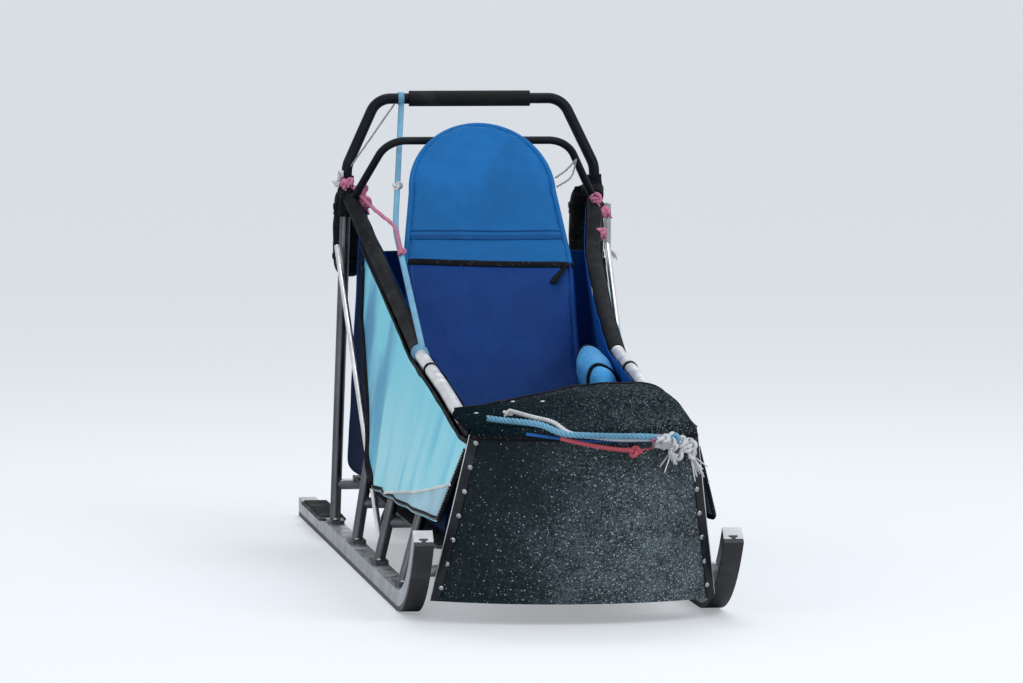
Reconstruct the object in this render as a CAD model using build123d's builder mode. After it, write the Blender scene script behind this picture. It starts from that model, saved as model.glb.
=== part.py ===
from build123d import *
import os
from math import asin, atan, cos, degrees, hypot, radians, sin, tan

os.makedirs("parts", exist_ok=True)

# A touring dog sled, in millimetres: x points ahead, y to the sled's left, z up from the ground.
# Its origin is on the ground, in the middle of its length and width.
# Distances called back are measured from the foremost point of the nose towards the tail.

SIDES = (("left", 1), ("right", -1))

# Overall sizes and clearances
overall_length = 2500
runner_gauge = 570
seat_gap = 0.3
pin_gap = 0.2

# Runners with their sliding shoes
runner_width = 36
runner_height = 30
shoe_thickness = 10
rise_radius = 420
rise_angle = 50
rise_back = 452
tongue_neck_width = 8
tongue_neck_height = 4
tongue_head_width = 16
tongue_head_height = 5

# Rubber foot pads on the tails
pad_length = 425
pad_width = 56
pad_corner = 12
pad_base = 5
pad_rib_height = 5
pad_rib_width = 9
pad_rib_pitch = 27
pad_rib_inset = 4
pad_foot_gap = 10

# Side rails: distance back, half width and height of the axis at each bend
rail_radius = 13
joint_back = 1880
joint_half_width = 258
joint_height = 725
nose_rail_half_width = 190
bow_height = 350
rail_bends = (
    (230, 190, 350),
    (620, 192, 398),
    (1060, 194, 440),
    (1350, 204, 516),
    (1640, 222, 604),
)
rail_bend_share = 0.2

# Stanchions, their feet and the crossbars: name, distance back
stanchions = (("front", 520), ("middle", 960), ("back", 1400))
stanchion_radius = 11
rear_foot_back = 1850
rear_stanchion_top = 750
foot_length = 74
foot_thickness = 8
crossbar_radius = 11
crossbar_height = 120

# Bed
bed_thickness = 6
bed_edge_gap = 1
bed_rear_margin = 18
bed_nose_gap = 64

# Nose shield: one bent plastic sheet between a low and a high arc
shield_thickness = 4
shield_low_height = 40
shield_low_half_width = 262
shield_low_sagitta = 100
shield_lean = 130
shield_high_height = 365
shield_high_half_width = 205
shield_high_sagitta = 70
edge_strip_width = 20
edge_strip_thickness = 2.5

# Brush bow and the struts behind the shield
bow_radius = 11
bow_corner_radius = 45
bow_leg = 40
nose_bar_radius = 11
nose_bar_rise = 225
strut_radius = 9
strut_low_half_width = 205
strut_high_share = 0.9

# Tow ring and bridle across the nose
bridle_radius = 5
bridle_height = 340
bridle_start_half_width = 175
ring_radius = 20
ring_hole_radius = 11
ring_thickness = 8
ring_side = 125

# Hood over the nose: distance back, height of its crown above its edges
hood_crowns = ((0, 8), (180, 36), (360, 32))
hood_thickness = 4
hood_overhang = 2

# Handlebar, its grip and the rear joint
handlebar_radius = 11
handlebar_back = 1905
handlebar_height = 912
handlebar_half_width = 192
handlebar_corner_radius = 45
handlebar_straight = 25
grip_length = 250
grip_thickness = 5

# Backrest with its hoop
backrest_back = 1290
backrest_angle = 33.5
backrest_half_width = 172
backrest_spring_half_width = 150
backrest_taper_height = 590
backrest_top_height = 865
backrest_arch_rise = 162
backrest_thickness = 12
hoop_radius = 8
hoop_foot_back = 1835
hoop_top_height = 830
hoop_half_width = 185
hoop_corner_radius = 60

# Cargo bag
cloth_thickness = 5
floor_thickness = 10
bag_front_back = 300
bag_rear_back = 1828
bag_rear_height = 600
wall_over_rail = 6

# Outer side panel: distance back and height of its hem, which climbs to a point at the rail
panel_hem = (
    (95, 322),
    (170, 190),
    (230, 186),
    (620, 176),
    (1060, 170),
    (1180, 168),
    (1350, 262),
    (1600, 470),
    (1640, 570),
)
panel_edge_gap = 1
skin_room = 1.6

# Band of black cloth along the outside of the rail
band_start_back = 170
band_end_back = 1850
band_below_rail = 14

# Folded cover inside the left wall: distance back, low and high edge
flap_stations = ((860, 335, 412), (960, 325, 435), (1060, 325, 448), (1160, 345, 458))
flap_thickness = 70

# Diagonal braces
brace_radius = 6
brace_foot_back = 1120
brace_top_height = 610

# Pouches on the rear stanchions
pouch_width = 80
pouch_depth = 60
pouch_below_joint = 185
pouch_above_joint = 10
pouch_side = 205

# Snow hook carried outside the left pouch
hook_height = 118
hook_shank = 9
hook_reach = 22
hook_thickness = 5
hook_spacing = 44
hook_below_joint = 150
hook_bar_radius = 4

# Brake and drag mat on one hinge rod
hinge_offset = 40
hinge_rod_radius = 5
lug_thickness = 6
lug_side = 207
brake_arm_side = 190
brake_tube_radius = 9
brake_reach = 400
brake_corner_radius = 50
brake_eye_radius = 14
claw_side = 100
claw_thickness = 10
claw_width = 26
claw_tip_width = 4
claw_rake = 14
claw_tip_height = 30
mat_half_width = 155
mat_length = 325
mat_thickness = 8
mat_sleeve_radius = 10
mat_rib_height = 12
mat_rib_width = 10
mat_rib_count = 6
ground_gap = 0.4

# Values that follow from the sizes above
half_length = overall_length / 2
tail_x = -half_length
runner_y = runner_gauge / 2
runner_top = shoe_thickness + runner_height
high_arc_radius = (shield_high_half_width**2 + shield_high_sagitta**2) / (2 * shield_high_sagitta)
low_arc_radius = (shield_low_half_width**2 + shield_low_sagitta**2) / (2 * shield_low_sagitta)
shield_rise = shield_high_height - shield_low_height
lean_slope = shield_lean / shield_rise
lean_cosine = cos(atan(lean_slope))


def nose_arc(height):
    """The shield's outer face at a height: its arc's centre behind the nose, radius and half angle."""
    share = (height - shield_low_height) / shield_rise
    low_angle = asin(shield_low_half_width / low_arc_radius)
    high_angle = asin(shield_high_half_width / high_arc_radius)
    low_back = shield_lean + low_arc_radius
    return (
        low_back + share * (high_arc_radius - low_back),
        low_arc_radius + share * (high_arc_radius - low_arc_radius),
        low_angle + share * (high_angle - low_angle),
    )


# The tow ring is the foremost piece, so it sets where the nose is
bridle_back, bridle_arc_radius, _ = nose_arc(bridle_height)
bridle_arc_radius += (bridle_radius + seat_gap) / lean_cosine
ring_angle = asin(ring_side / bridle_arc_radius)
ring_distance = bridle_arc_radius + bridle_radius + seat_gap + ring_radius
nose_x = half_length - ring_radius - ring_distance * cos(ring_angle) + bridle_back
bridle_x = nose_x - bridle_back

bed_low = crossbar_height + crossbar_radius + seat_gap
bed_top = bed_low + bed_thickness
floor_low = bed_top + seat_gap
floor_top = floor_low + floor_thickness
bag_bends = tuple(bend[0] for bend in rail_bends if bag_front_back < bend[0] < bag_rear_back)


def bend_radii(points, share=0.45):
    """Radii that make each bend as large as its two runs allow."""
    radii = []
    for before, corner, after in zip(points, points[1:], points[2:]):
        run_in = corner - before
        run_out = after - corner
        half_turn = radians(run_in.get_angle(run_out)) / 2
        radii.append(share * min(run_in.length, run_out.length) / tan(half_turn))
    return radii


def bent_tube(points, radii, radius):
    """A round tube along straight runs joined by tangent bends."""
    with BuildPart() as tube:
        with BuildLine():
            FilletPolyline(*points, radius=radii)
        with BuildSketch(Plane(origin=points[0], z_dir=points[1] - points[0])):
            Circle(radius)
        sweep()
    return tube.part


def rod(start, end, radius):
    """A straight round bar between two points."""
    with BuildPart() as bar:
        with BuildSketch(Plane(origin=start, z_dir=end - start)):
            Circle(radius)
        extrude(amount=(end - start).length)
    return bar.part


def runner_band(low, high, y):
    """Side profile between two heights above the ground, following the upturned tip."""
    with BuildSketch(Plane.XZ.offset(-y)) as band:
        with BuildLine():
            Line((tail_x, low), (rise_x, low))
            outer = CenterArc((rise_x, rise_radius), rise_radius - low, 270, rise_angle)
            inner = CenterArc((rise_x, rise_radius), rise_radius - high, 270, rise_angle)
            Line(outer @ 1, inner @ 1)
            Line((rise_x, high), (tail_x, high))
            Line((tail_x, high), (tail_x, low))
        make_face()
    return band.sketch


def table_spot(table, back):
    """The other columns of a table at a distance behind the nose, in line between its rows."""
    values = table[0][1:]
    for row, next_row in zip(table, table[1:]):
        if back >= row[0]:
            share = (back - row[0]) / (next_row[0] - row[0])
            values = [start + share * (end - start) for start, end in zip(row[1:], next_row[1:])]
    return values


def rail_spot(back):
    """Half width and height of the rail's axis at a distance behind the nose."""
    return table_spot(rail_bends + ((joint_back, joint_half_width, joint_height),), back)


def side_y(back, height, offset=0):
    """Half width of the plane through rail and runner, pushed outwards by an offset."""
    rail_width, rail_height = rail_spot(back)
    share = (rail_height - height) / (rail_height - runner_top)
    return rail_width + share * (runner_y - rail_width) + offset


def side_sheet(stations, sign, offset, thickness):
    """A thin wall through stations of distance back, low and high edge, on one side of the sled."""
    with BuildPart() as sheet:
        for back, low, high in stations:
            with BuildSketch(Plane.YZ.offset(nose_x - back)):
                with BuildLine():
                    Polyline(
                        (sign * side_y(back, low, offset), low),
                        (sign * side_y(back, high, offset), high),
                        (sign * side_y(back, high, offset + thickness), high),
                        (sign * side_y(back, low, offset + thickness), low),
                        close=True,
                    )
                make_face()
        loft(ruled=True)
    return sheet.part


def nose_spot(height, inward, share):
    """A point behind the shield's outer face, at a share of its half angle."""
    back, radius, angle = nose_arc(height)
    reach = radius - inward
    return Vector(nose_x - back + reach * cos(share * angle), reach * sin(share * angle), height)


def nose_band(height, inner, outer, start, size):
    """A band beside the shield's outer face at a height, between two radial offsets, in degrees."""
    back, radius, _ = nose_arc(height)
    with BuildSketch(Plane.XY.offset(height)) as band:
        with BuildLine():
            far = CenterArc((nose_x - back, 0), radius + outer, start, size)
            near = CenterArc((nose_x - back, 0), radius + inner, start, size)
            Line(far @ 0, near @ 0)
            Line(far @ 1, near @ 1)
        make_face()
    return band.sketch


rise_x = nose_x - rise_back

# Route of each side rail and of the rear stanchions, from front to back
bow_back, bow_arc_radius, _ = nose_arc(bow_height)
bow_arc_radius -= shield_thickness + (bow_radius + seat_gap) / lean_cosine
bow_arc_angle = degrees(
    asin((nose_rail_half_width - bow_corner_radius) / (bow_arc_radius - bow_corner_radius))
)
bow_corner_x = nose_x - bow_back + (bow_arc_radius - bow_corner_radius) * cos(radians(bow_arc_angle))
bow_end_x = bow_corner_x - bow_leg
bed_half_width = (
    min(side_y(back, bed_top) for _, back in stanchions) - stanchion_radius - bed_edge_gap
)


def bow_tube(radius):
    """The brush bow's arc behind the shield's top edge, with legs that run back to the rails."""
    corner_y = nose_rail_half_width - bow_corner_radius
    corner_turn = 90 - bow_arc_angle
    with BuildPart() as tube:
        with BuildLine(Plane.XY.offset(bow_height)):
            Line((bow_end_x, -nose_rail_half_width), (bow_corner_x, -nose_rail_half_width))
            CenterArc((bow_corner_x, -corner_y), bow_corner_radius, 270, corner_turn)
            CenterArc((nose_x - bow_back, 0), bow_arc_radius, -bow_arc_angle, 2 * bow_arc_angle)
            CenterArc((bow_corner_x, corner_y), bow_corner_radius, bow_arc_angle, corner_turn)
            Line((bow_corner_x, nose_rail_half_width), (bow_end_x, nose_rail_half_width))
        with BuildSketch(Plane(origin=(bow_end_x, -nose_rail_half_width, bow_height), z_dir=(1, 0, 0))):
            Circle(radius)
        sweep()
    return tube.part


# Brush bow
with BuildPart() as brush_bow:
    add(bow_tube(bow_radius))
brush_bow.part.label = "brush_bow"
export_step(brush_bow.part, "parts/brush_bow.step")

# Nose bar between the upturned runners
bar_band_radius = rise_radius - (shoe_thickness + runner_top) / 2
nose_bar_height = rise_radius - (bar_band_radius**2 - nose_bar_rise**2) ** 0.5
nose_bar_centre = Vector(rise_x + nose_bar_rise, 0, nose_bar_height)
nose_bar_half = Vector(0, runner_y - runner_width / 2, 0)
with BuildPart() as nose_bar:
    add(rod(nose_bar_centre - nose_bar_half, nose_bar_centre + nose_bar_half, nose_bar_radius))
nose_bar.part.label = "nose_bar"
export_step(nose_bar.part, "parts/nose_bar.step")

# What the nose struts are cut back by
nose_rooms = [
    bow_tube(bow_radius + seat_gap),
    rod(nose_bar_centre - nose_bar_half, nose_bar_centre + nose_bar_half, nose_bar_radius + seat_gap),
]

for side, sign in SIDES:
    y = sign * runner_y

    # Runner: a flat bar with an upturned tip and a slot for its shoe
    neck_top = shoe_thickness + tongue_neck_height
    head_top = neck_top + tongue_head_height
    with BuildPart() as runner:
        extrude(runner_band(shoe_thickness, runner_top, y), amount=runner_width / 2, both=True)
        extrude(
            runner_band(shoe_thickness, neck_top, y),
            amount=tongue_neck_width / 2 + pin_gap,
            both=True,
            mode=Mode.SUBTRACT,
        )
        extrude(
            runner_band(neck_top - pin_gap, head_top + pin_gap, y),
            amount=tongue_head_width / 2 + pin_gap,
            both=True,
            mode=Mode.SUBTRACT,
        )
    runner.part.label = f"runner_{side}"
    export_step(runner.part, f"parts/runner_{side}.step")

    # Shoe: a wear strip whose tongue slides into the runner's slot
    with BuildPart() as runner_shoe:
        extrude(runner_band(0, shoe_thickness, y), amount=runner_width / 2, both=True)
        extrude(runner_band(shoe_thickness, neck_top, y), amount=tongue_neck_width / 2, both=True)
        extrude(runner_band(neck_top, head_top, y), amount=tongue_head_width / 2, both=True)
    runner_shoe.part.label = f"runner_shoe_{side}"
    export_step(runner_shoe.part, f"parts/runner_shoe_{side}.step")

    # Foot pad: ribbed rubber on the runner's tail, just behind the rear stanchion's foot
    pad_x = nose_x - rear_foot_back - foot_length / 2 - pad_foot_gap - pad_length / 2
    pad_rib_count = int((pad_length - 2 * pad_corner) / pad_rib_pitch)
    with BuildPart() as foot_pad:
        with BuildSketch(Plane.XY.offset(runner_top)):
            with Locations((pad_x, y)):
                RectangleRounded(pad_length, pad_width, pad_corner)
        extrude(amount=pad_base)
        with BuildSketch(Plane.XY.offset(runner_top + pad_base)):
            with Locations((pad_x, y)):
                with GridLocations(pad_rib_pitch, pad_width, pad_rib_count, 1):
                    Rectangle(pad_rib_width, pad_width - 2 * pad_rib_inset)
        extrude(amount=pad_rib_height)
    foot_pad.part.label = f"foot_pad_{side}"
    export_step(foot_pad.part, f"parts/foot_pad_{side}.step")

    # Rear stanchion: from the runner past the joint with the rail
    rear_foot = Vector(nose_x - rear_foot_back, y, runner_top)
    joint = Vector(nose_x - joint_back, sign * joint_half_width, joint_height)
    rear_axis = (joint - rear_foot) * (1 / (joint_height - runner_top))
    rear_start = rear_foot + rear_axis * (foot_thickness / 2)
    rear_end = rear_foot + rear_axis * (rear_stanchion_top - runner_top)
    with BuildPart() as rear_stanchion:
        with BuildSketch(Plane.XY.offset(runner_top)):
            with Locations((rear_foot.X, y)):
                RectangleRounded(foot_length, runner_width - 2, foot_thickness)
        extrude(amount=foot_thickness)
        with BuildSketch(Plane(origin=rear_start, z_dir=rear_axis)):
            Circle(stanchion_radius)
        extrude(amount=(rear_end - rear_start).length)
    rear_stanchion.part.label = f"stanchion_rear_{side}"
    export_step(rear_stanchion.part, f"parts/stanchion_rear_{side}.step")

    # Side rail: from the brush bow's end up to the rear stanchion
    rail_points = [Vector(bow_end_x, sign * nose_rail_half_width, bow_height)]
    rail_points += [Vector(nose_x - back, sign * width, height) for back, width, height in rail_bends]
    rail_points += [joint]
    rail_radii = bend_radii(rail_points, rail_bend_share)
    rail_room = bent_tube(rail_points, rail_radii, rail_radius + seat_gap)
    rear_room = rod(rear_start, rear_end, stanchion_radius + seat_gap)
    with BuildPart() as side_rail:
        add(bent_tube(rail_points, rail_radii, rail_radius))
        add(rear_room, mode=Mode.SUBTRACT)
    side_rail.part.label = f"side_rail_{side}"
    export_step(side_rail.part, f"parts/side_rail_{side}.step")

    # Stanchions: each on a foot plate, cut to the round of the rail
    for name, back in stanchions:
        width, height = rail_spot(back)
        foot = Vector(nose_x - back, y, runner_top)
        top = Vector(nose_x - back, sign * width, height)
        start = foot + (top - foot) * (foot_thickness / 2 / (height - runner_top))
        with BuildPart() as stanchion:
            with BuildSketch(Plane.XY.offset(runner_top)):
                with Locations((foot.X, y)):
                    RectangleRounded(foot_length, runner_width - 2, foot_thickness)
            extrude(amount=foot_thickness)
            with BuildSketch(Plane(origin=start, z_dir=top - start)):
                Circle(stanchion_radius)
            extrude(amount=(top - start).length)
            add(rail_room, mode=Mode.SUBTRACT)
        stanchion.part.label = f"stanchion_{name}_{side}"
        export_step(stanchion.part, f"parts/stanchion_{name}_{side}.step")

    # Diagonal brace: outside the back stanchion, from the runner to the rear stanchion
    brace_offset = stanchion_radius + seat_gap + brace_radius
    brace_top = Vector(
        nose_x - rear_foot_back, sign * (side_y(joint_back, brace_top_height) + brace_offset), brace_top_height
    )
    brace_foot_x = nose_x - brace_foot_back
    brace_slope = (brace_top_height - runner_top) / (brace_foot_x - brace_top.X)
    back_stanchion = stanchions[-1][1]
    crossing_height = runner_top + brace_slope * (back_stanchion - brace_foot_back)
    crossing_y = side_y(back_stanchion, crossing_height) + brace_offset + seat_gap
    crossing = Vector(nose_x - back_stanchion, sign * crossing_y, crossing_height)
    brace_line = (crossing - brace_top) * (1 / (brace_top_height - crossing_height))
    brace_foot = brace_top + brace_line * (brace_top_height - runner_top - brace_radius)
    with BuildPart() as brace:
        add(rod(brace_foot, brace_top, brace_radius))
    brace.part.label = f"brace_{side}"
    export_step(brace.part, f"parts/brace_{side}.step")

    # Cargo bag: inner wall
    wall_backs = (bag_front_back + cloth_thickness + seat_gap,) + bag_bends + (bag_rear_back,)
    wall_sections = [(back, floor_low, rail_spot(back)[1] + wall_over_rail) for back in wall_backs]
    wall_offset = -rail_radius - 2 * seat_gap - cloth_thickness
    with BuildPart() as bag_wall:
        add(side_sheet(wall_sections, sign, wall_offset, cloth_thickness))
    bag_wall.part.label = f"bag_wall_{side}"
    export_step(bag_wall.part, f"parts/bag_wall_{side}.step")

    # Band of cloth along the outside of the rail
    skin_offset = rail_radius + skin_room
    band_sections = []
    for back in (band_start_back,) + tuple(bend[0] for bend in rail_bends) + (band_end_back,):
        height = rail_spot(back)[1]
        band_sections.append((back, height - band_below_rail, height + wall_over_rail))
    with BuildPart() as rail_band:
        add(side_sheet(band_sections, sign, skin_offset, cloth_thickness))
    rail_band.part.label = f"rail_band_{side}"
    export_step(rail_band.part, f"parts/rail_band_{side}.step")

    # Outer panel below the band
    panel_sections = []
    for back, hem in panel_hem:
        panel_sections.append((back, hem, rail_spot(back)[1] - band_below_rail - panel_edge_gap))
    with BuildPart() as side_panel:
        add(side_sheet(panel_sections, sign, skin_offset, cloth_thickness))
    side_panel.part.label = f"side_panel_{side}"
    export_step(side_panel.part, f"parts/side_panel_{side}.step")

    # Strip riveted along the shield's side edge
    with BuildPart() as edge_strip:
        for height in (shield_low_height, shield_high_height):
            _, radius, angle = nose_arc(height)
            strip_angle = degrees(edge_strip_width / radius)
            edge_angle = degrees(angle)
            start_angle = edge_angle - strip_angle if sign > 0 else -edge_angle
            add(nose_band(height, seat_gap, seat_gap + edge_strip_thickness, start_angle, strip_angle))
        loft(ruled=True)
    edge_strip.part.label = f"shield_strip_{side}"
    export_step(edge_strip.part, f"parts/shield_strip_{side}.step")

    # Strut behind the shield, from the nose bar to the brush bow
    strut_angle = sign * strut_high_share * radians(bow_arc_angle)
    strut_low = nose_bar_centre + Vector(0, sign * strut_low_half_width, 0)
    strut_high = Vector(
        nose_x - bow_back + bow_arc_radius * cos(strut_angle), bow_arc_radius * sin(strut_angle), bow_height
    )
    with BuildPart() as nose_strut:
        add(rod(strut_low, strut_high, strut_radius))
        add(nose_rooms, mode=Mode.SUBTRACT)
    nose_strut.part.label = f"nose_strut_{side}"
    export_step(nose_strut.part, f"parts/nose_strut_{side}.step")

    # Pouch behind the rear stanchion
    pouch_front = rear_foot + rear_axis * (joint_height + pouch_above_joint - runner_top)
    pouch_x = pouch_front.X - (stanchion_radius + seat_gap) - pouch_depth / 2
    with BuildPart() as pouch:
        with BuildSketch(Plane.XY.offset(joint_height - pouch_below_joint)):
            with Locations((pouch_x, sign * (pouch_side + pouch_width / 2))):
                RectangleRounded(pouch_depth, pouch_width, pouch_depth / 4)
        extrude(amount=pouch_below_joint + pouch_above_joint)
    pouch.part.label = f"pouch_{side}"
    export_step(pouch.part, f"parts/pouch_{side}.step")

# Folded cover: a thick pad of cloth against the left wall
with BuildPart() as cover_flap:
    flap_offset = wall_offset - 2 * seat_gap - flap_thickness
    add(side_sheet(flap_stations, 1, flap_offset, flap_thickness))
cover_flap.part.label = "cover_flap"
export_step(cover_flap.part, "parts/cover_flap.step")

# Snow hook: two curved claws joined by bars, against the outer face of the left pouch
hook_y = pouch_side + pouch_width + seat_gap
hook_low = joint_height - hook_below_joint
with BuildPart() as snow_hook_left:
    with BuildSketch(Plane.YZ.offset(pouch_x - hook_spacing / 2)):
        with BuildLine():
            shank_end = (hook_y + hook_shank, hook_low + hook_height)
            outer = Line(shank_end, (hook_y + hook_shank, hook_low + hook_reach))
            outer_curve = RadiusArc(outer @ 1, (hook_y + hook_reach, hook_low), hook_reach)
            inner_curve = RadiusArc(outer_curve @ 1, (hook_y, hook_low + hook_reach), -2 * hook_reach)
            Polyline(inner_curve @ 1, (hook_y, hook_low + hook_height), outer @ 0)
        make_face()
    extrude(amount=hook_thickness)
    mirror(about=Plane.YZ.offset(pouch_x))
    for height in (hook_low + hook_height - hook_shank, hook_low + hook_height / 2):
        bar_start = Vector(pouch_x - hook_spacing / 2, hook_y + hook_shank / 2, height)
        add(rod(bar_start, bar_start + Vector(hook_spacing, 0, 0), hook_bar_radius))
snow_hook_left.part.label = "snow_hook_left"
export_step(snow_hook_left.part, "parts/snow_hook_left.step")

# Crossbars between the stanchions
for name, back in stanchions + (("rear", rear_foot_back),):
    ends = []
    rooms = []
    for side, sign in SIDES:
        foot = Vector(nose_x - back, sign * runner_y, runner_top)
        if name == "rear":
            top = Vector(nose_x - joint_back, sign * joint_half_width, joint_height)
        else:
            width, height = rail_spot(back)
            top = Vector(nose_x - back, sign * width, height)
        share = (crossbar_height - runner_top) / (top.Z - runner_top)
        ends.append(foot + (top - foot) * share)
        rooms.append(rod(foot, top, stanchion_radius + seat_gap))
    with BuildPart() as crossbar:
        add(rod(ends[0], ends[1], crossbar_radius))
        add(rooms, mode=Mode.SUBTRACT)
    crossbar.part.label = f"crossbar_{name}"
    export_step(crossbar.part, f"parts/crossbar_{name}.step")

# Nose shield
with BuildPart() as nose_shield:
    for height in (shield_low_height, shield_high_height):
        angle = degrees(nose_arc(height)[2])
        add(nose_band(height, -shield_thickness, 0, -angle, 2 * angle))
    loft(ruled=True)
nose_shield.part.label = "nose_shield"
export_step(nose_shield.part, "parts/nose_shield.step")

# Hood: a crowned sheet over the bow and the rails' front ends, rounded to the nose
hood_half_width = nose_rail_half_width + rail_radius + hood_overhang
hood_end_back = hood_crowns[-1][0]
hood_front_low = shield_high_height + seat_gap
hood_rear_low = rail_spot(hood_end_back)[1] + rail_radius + seat_gap


def hood_low(back):
    """Height of the hood's edges, from the shield's top to the rails' top."""
    return hood_front_low + (hood_rear_low - hood_front_low) * back / hood_end_back


with BuildPart() as nose_hood:
    for back, crown in hood_crowns:
        with BuildSketch(Plane.YZ.offset(nose_x - back)):
            with BuildLine():
                low = hood_low(back)
                high = low + hood_thickness
                outer = ThreePointArc((-hood_half_width, high), (0, high + crown), (hood_half_width, high))
                inner = ThreePointArc((hood_half_width, low), (0, low + crown), (-hood_half_width, low))
                Line(outer @ 1, inner @ 0)
                Line(inner @ 1, outer @ 0)
            make_face()
    loft(ruled=True)
    with BuildSketch(Plane.XY.offset(hood_front_low)):
        with BuildLine():
            hood_arc_back, hood_arc_radius, _ = nose_arc(shield_high_height)
            hood_arc_angle = degrees(asin(hood_half_width / hood_arc_radius))
            hood_arc = CenterArc(
                (nose_x - hood_arc_back, 0), hood_arc_radius, -hood_arc_angle, 2 * hood_arc_angle
            )
            hood_end_x = nose_x - hood_end_back
            Polyline(
                hood_arc @ 1, (hood_end_x, hood_half_width), (hood_end_x, -hood_half_width), hood_arc @ 0
            )
        make_face()
    extrude(amount=hood_half_width, mode=Mode.INTERSECT)
nose_hood.part.label = "nose_hood"
export_step(nose_hood.part, "parts/nose_hood.step")

# Bed: a plastic sheet over the crossbars, rounded to the nose
bed_front = [nose_spot(bed_top, bed_nose_gap, share) for share in (-0.9, 0, 0.9)]
with BuildPart() as bed:
    with BuildSketch(Plane.XY.offset(bed_low)):
        with BuildLine():
            rear_x = nose_x - rear_foot_back - bed_rear_margin
            front_corner = bed_front[2]
            shoulder_x = front_corner.X - (bed_half_width - front_corner.Y)
            nose_curve = ThreePointArc(
                (front_corner.X, -front_corner.Y), (bed_front[1].X, 0), (front_corner.X, front_corner.Y)
            )
            Polyline(
                nose_curve @ 1,
                (shoulder_x, bed_half_width),
                (rear_x, bed_half_width),
                (rear_x, -bed_half_width),
                (shoulder_x, -bed_half_width),
                nose_curve @ 0,
            )
        make_face()
    extrude(amount=bed_thickness)
bed.part.label = "bed"
export_step(bed.part, "parts/bed.step")

# Cargo bag: padded floor, front wall and rear wall
floor_inset = wall_offset - seat_gap
floor_stations = (bag_front_back,) + bag_bends + (bag_rear_back,)
with BuildPart() as bag_floor:
    with BuildSketch(Plane.XY.offset(floor_low)):
        with BuildLine():
            edge = [(nose_x - back, side_y(back, floor_top, floor_inset)) for back in floor_stations]
            Polyline(*edge, *[(x, -half) for x, half in reversed(edge)], close=True)
        make_face()
    extrude(amount=floor_thickness)
bag_floor.part.label = "bag_floor"
export_step(bag_floor.part, "parts/bag_floor.step")

front_wall_height = rail_spot(bag_front_back)[1] + wall_over_rail
under_hood = hood_low(bag_front_back) + table_spot(hood_crowns, bag_front_back)[0] - seat_gap
front_wall_crown = under_hood - front_wall_height
cross_walls = (
    ("bag_front", bag_front_back, front_wall_height, front_wall_crown),
    ("bag_rear", bag_rear_back + seat_gap, bag_rear_height, 0),
)
for name, back, high, crown in cross_walls:
    with BuildPart() as bag_end:
        with BuildSketch(Plane.YZ.offset(nose_x - back - cloth_thickness)):
            with BuildLine():
                low_half = side_y(back, floor_top, floor_inset)
                high_half = side_y(back, high, floor_inset)
                if crown:
                    top = ThreePointArc((high_half, high), (0, high + crown), (-high_half, high))
                else:
                    top = Line((high_half, high), (-high_half, high))
                Polyline(
                    top @ 1,
                    (-low_half, floor_top + seat_gap),
                    (low_half, floor_top + seat_gap),
                    top @ 0,
                )
            make_face()
        extrude(amount=cloth_thickness)
    bag_end.part.label = name
    export_step(bag_end.part, f"parts/{name}.step")

# Backrest: an arched padded board that leans on its hoop
lean_sine = sin(radians(backrest_angle))
lean_cos = cos(radians(backrest_angle))
backrest_low = floor_top + seat_gap + backrest_thickness * lean_sine
backrest_plane = Plane(
    origin=(nose_x - backrest_back, 0, backrest_low), x_dir=(0, 1, 0), z_dir=(lean_cos, 0, lean_sine)
)
with BuildPart() as backrest:
    with BuildSketch(backrest_plane):
        with BuildLine():
            arch_top = (backrest_top_height - backrest_low) / lean_cos
            arch_low = arch_top - backrest_arch_rise
            taper_low = (backrest_taper_height - backrest_low) / lean_cos
            arch = ThreePointArc(
                (backrest_spring_half_width, arch_low), (0, arch_top), (-backrest_spring_half_width, arch_low)
            )
            Polyline(
                arch @ 1,
                (-backrest_half_width, taper_low),
                (-backrest_half_width, 0),
                (backrest_half_width, 0),
                (backrest_half_width, taper_low),
                arch @ 0,
            )
        make_face()
    extrude(amount=-backrest_thickness)
backrest.part.label = "backrest"
export_step(backrest.part, "parts/backrest.step")

# Hoop behind the backrest, standing on the rails
hoop_plane = backrest_plane.offset(-(backrest_thickness + seat_gap + hoop_radius))
hoop_points = []
for sign in (1, -1):
    foot_half_width, foot_height = rail_spot(hoop_foot_back)
    foot = Vector(nose_x - hoop_foot_back, sign * foot_half_width, foot_height)
    hoop_height = (hoop_top_height - hoop_plane.origin.Z) / lean_cos
    shoulder = hoop_plane.from_local_coords(Vector(sign * hoop_half_width, hoop_height, 0))
    hoop_points += [foot, shoulder] if sign > 0 else [shoulder, foot]
with BuildPart() as backrest_hoop:
    add(bent_tube(hoop_points, [hoop_corner_radius] * 2, hoop_radius))
    for sign in (1, -1):
        last_bend = rail_bends[-1]
        rail_start = Vector(nose_x - last_bend[0], sign * last_bend[1], last_bend[2])
        rail_end = Vector(nose_x - joint_back, sign * joint_half_width, joint_height)
        add(rod(rail_start, rail_end, rail_radius + seat_gap), mode=Mode.SUBTRACT)
backrest_hoop.part.label = "backrest_hoop"
export_step(backrest_hoop.part, "parts/backrest_hoop.step")

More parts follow.
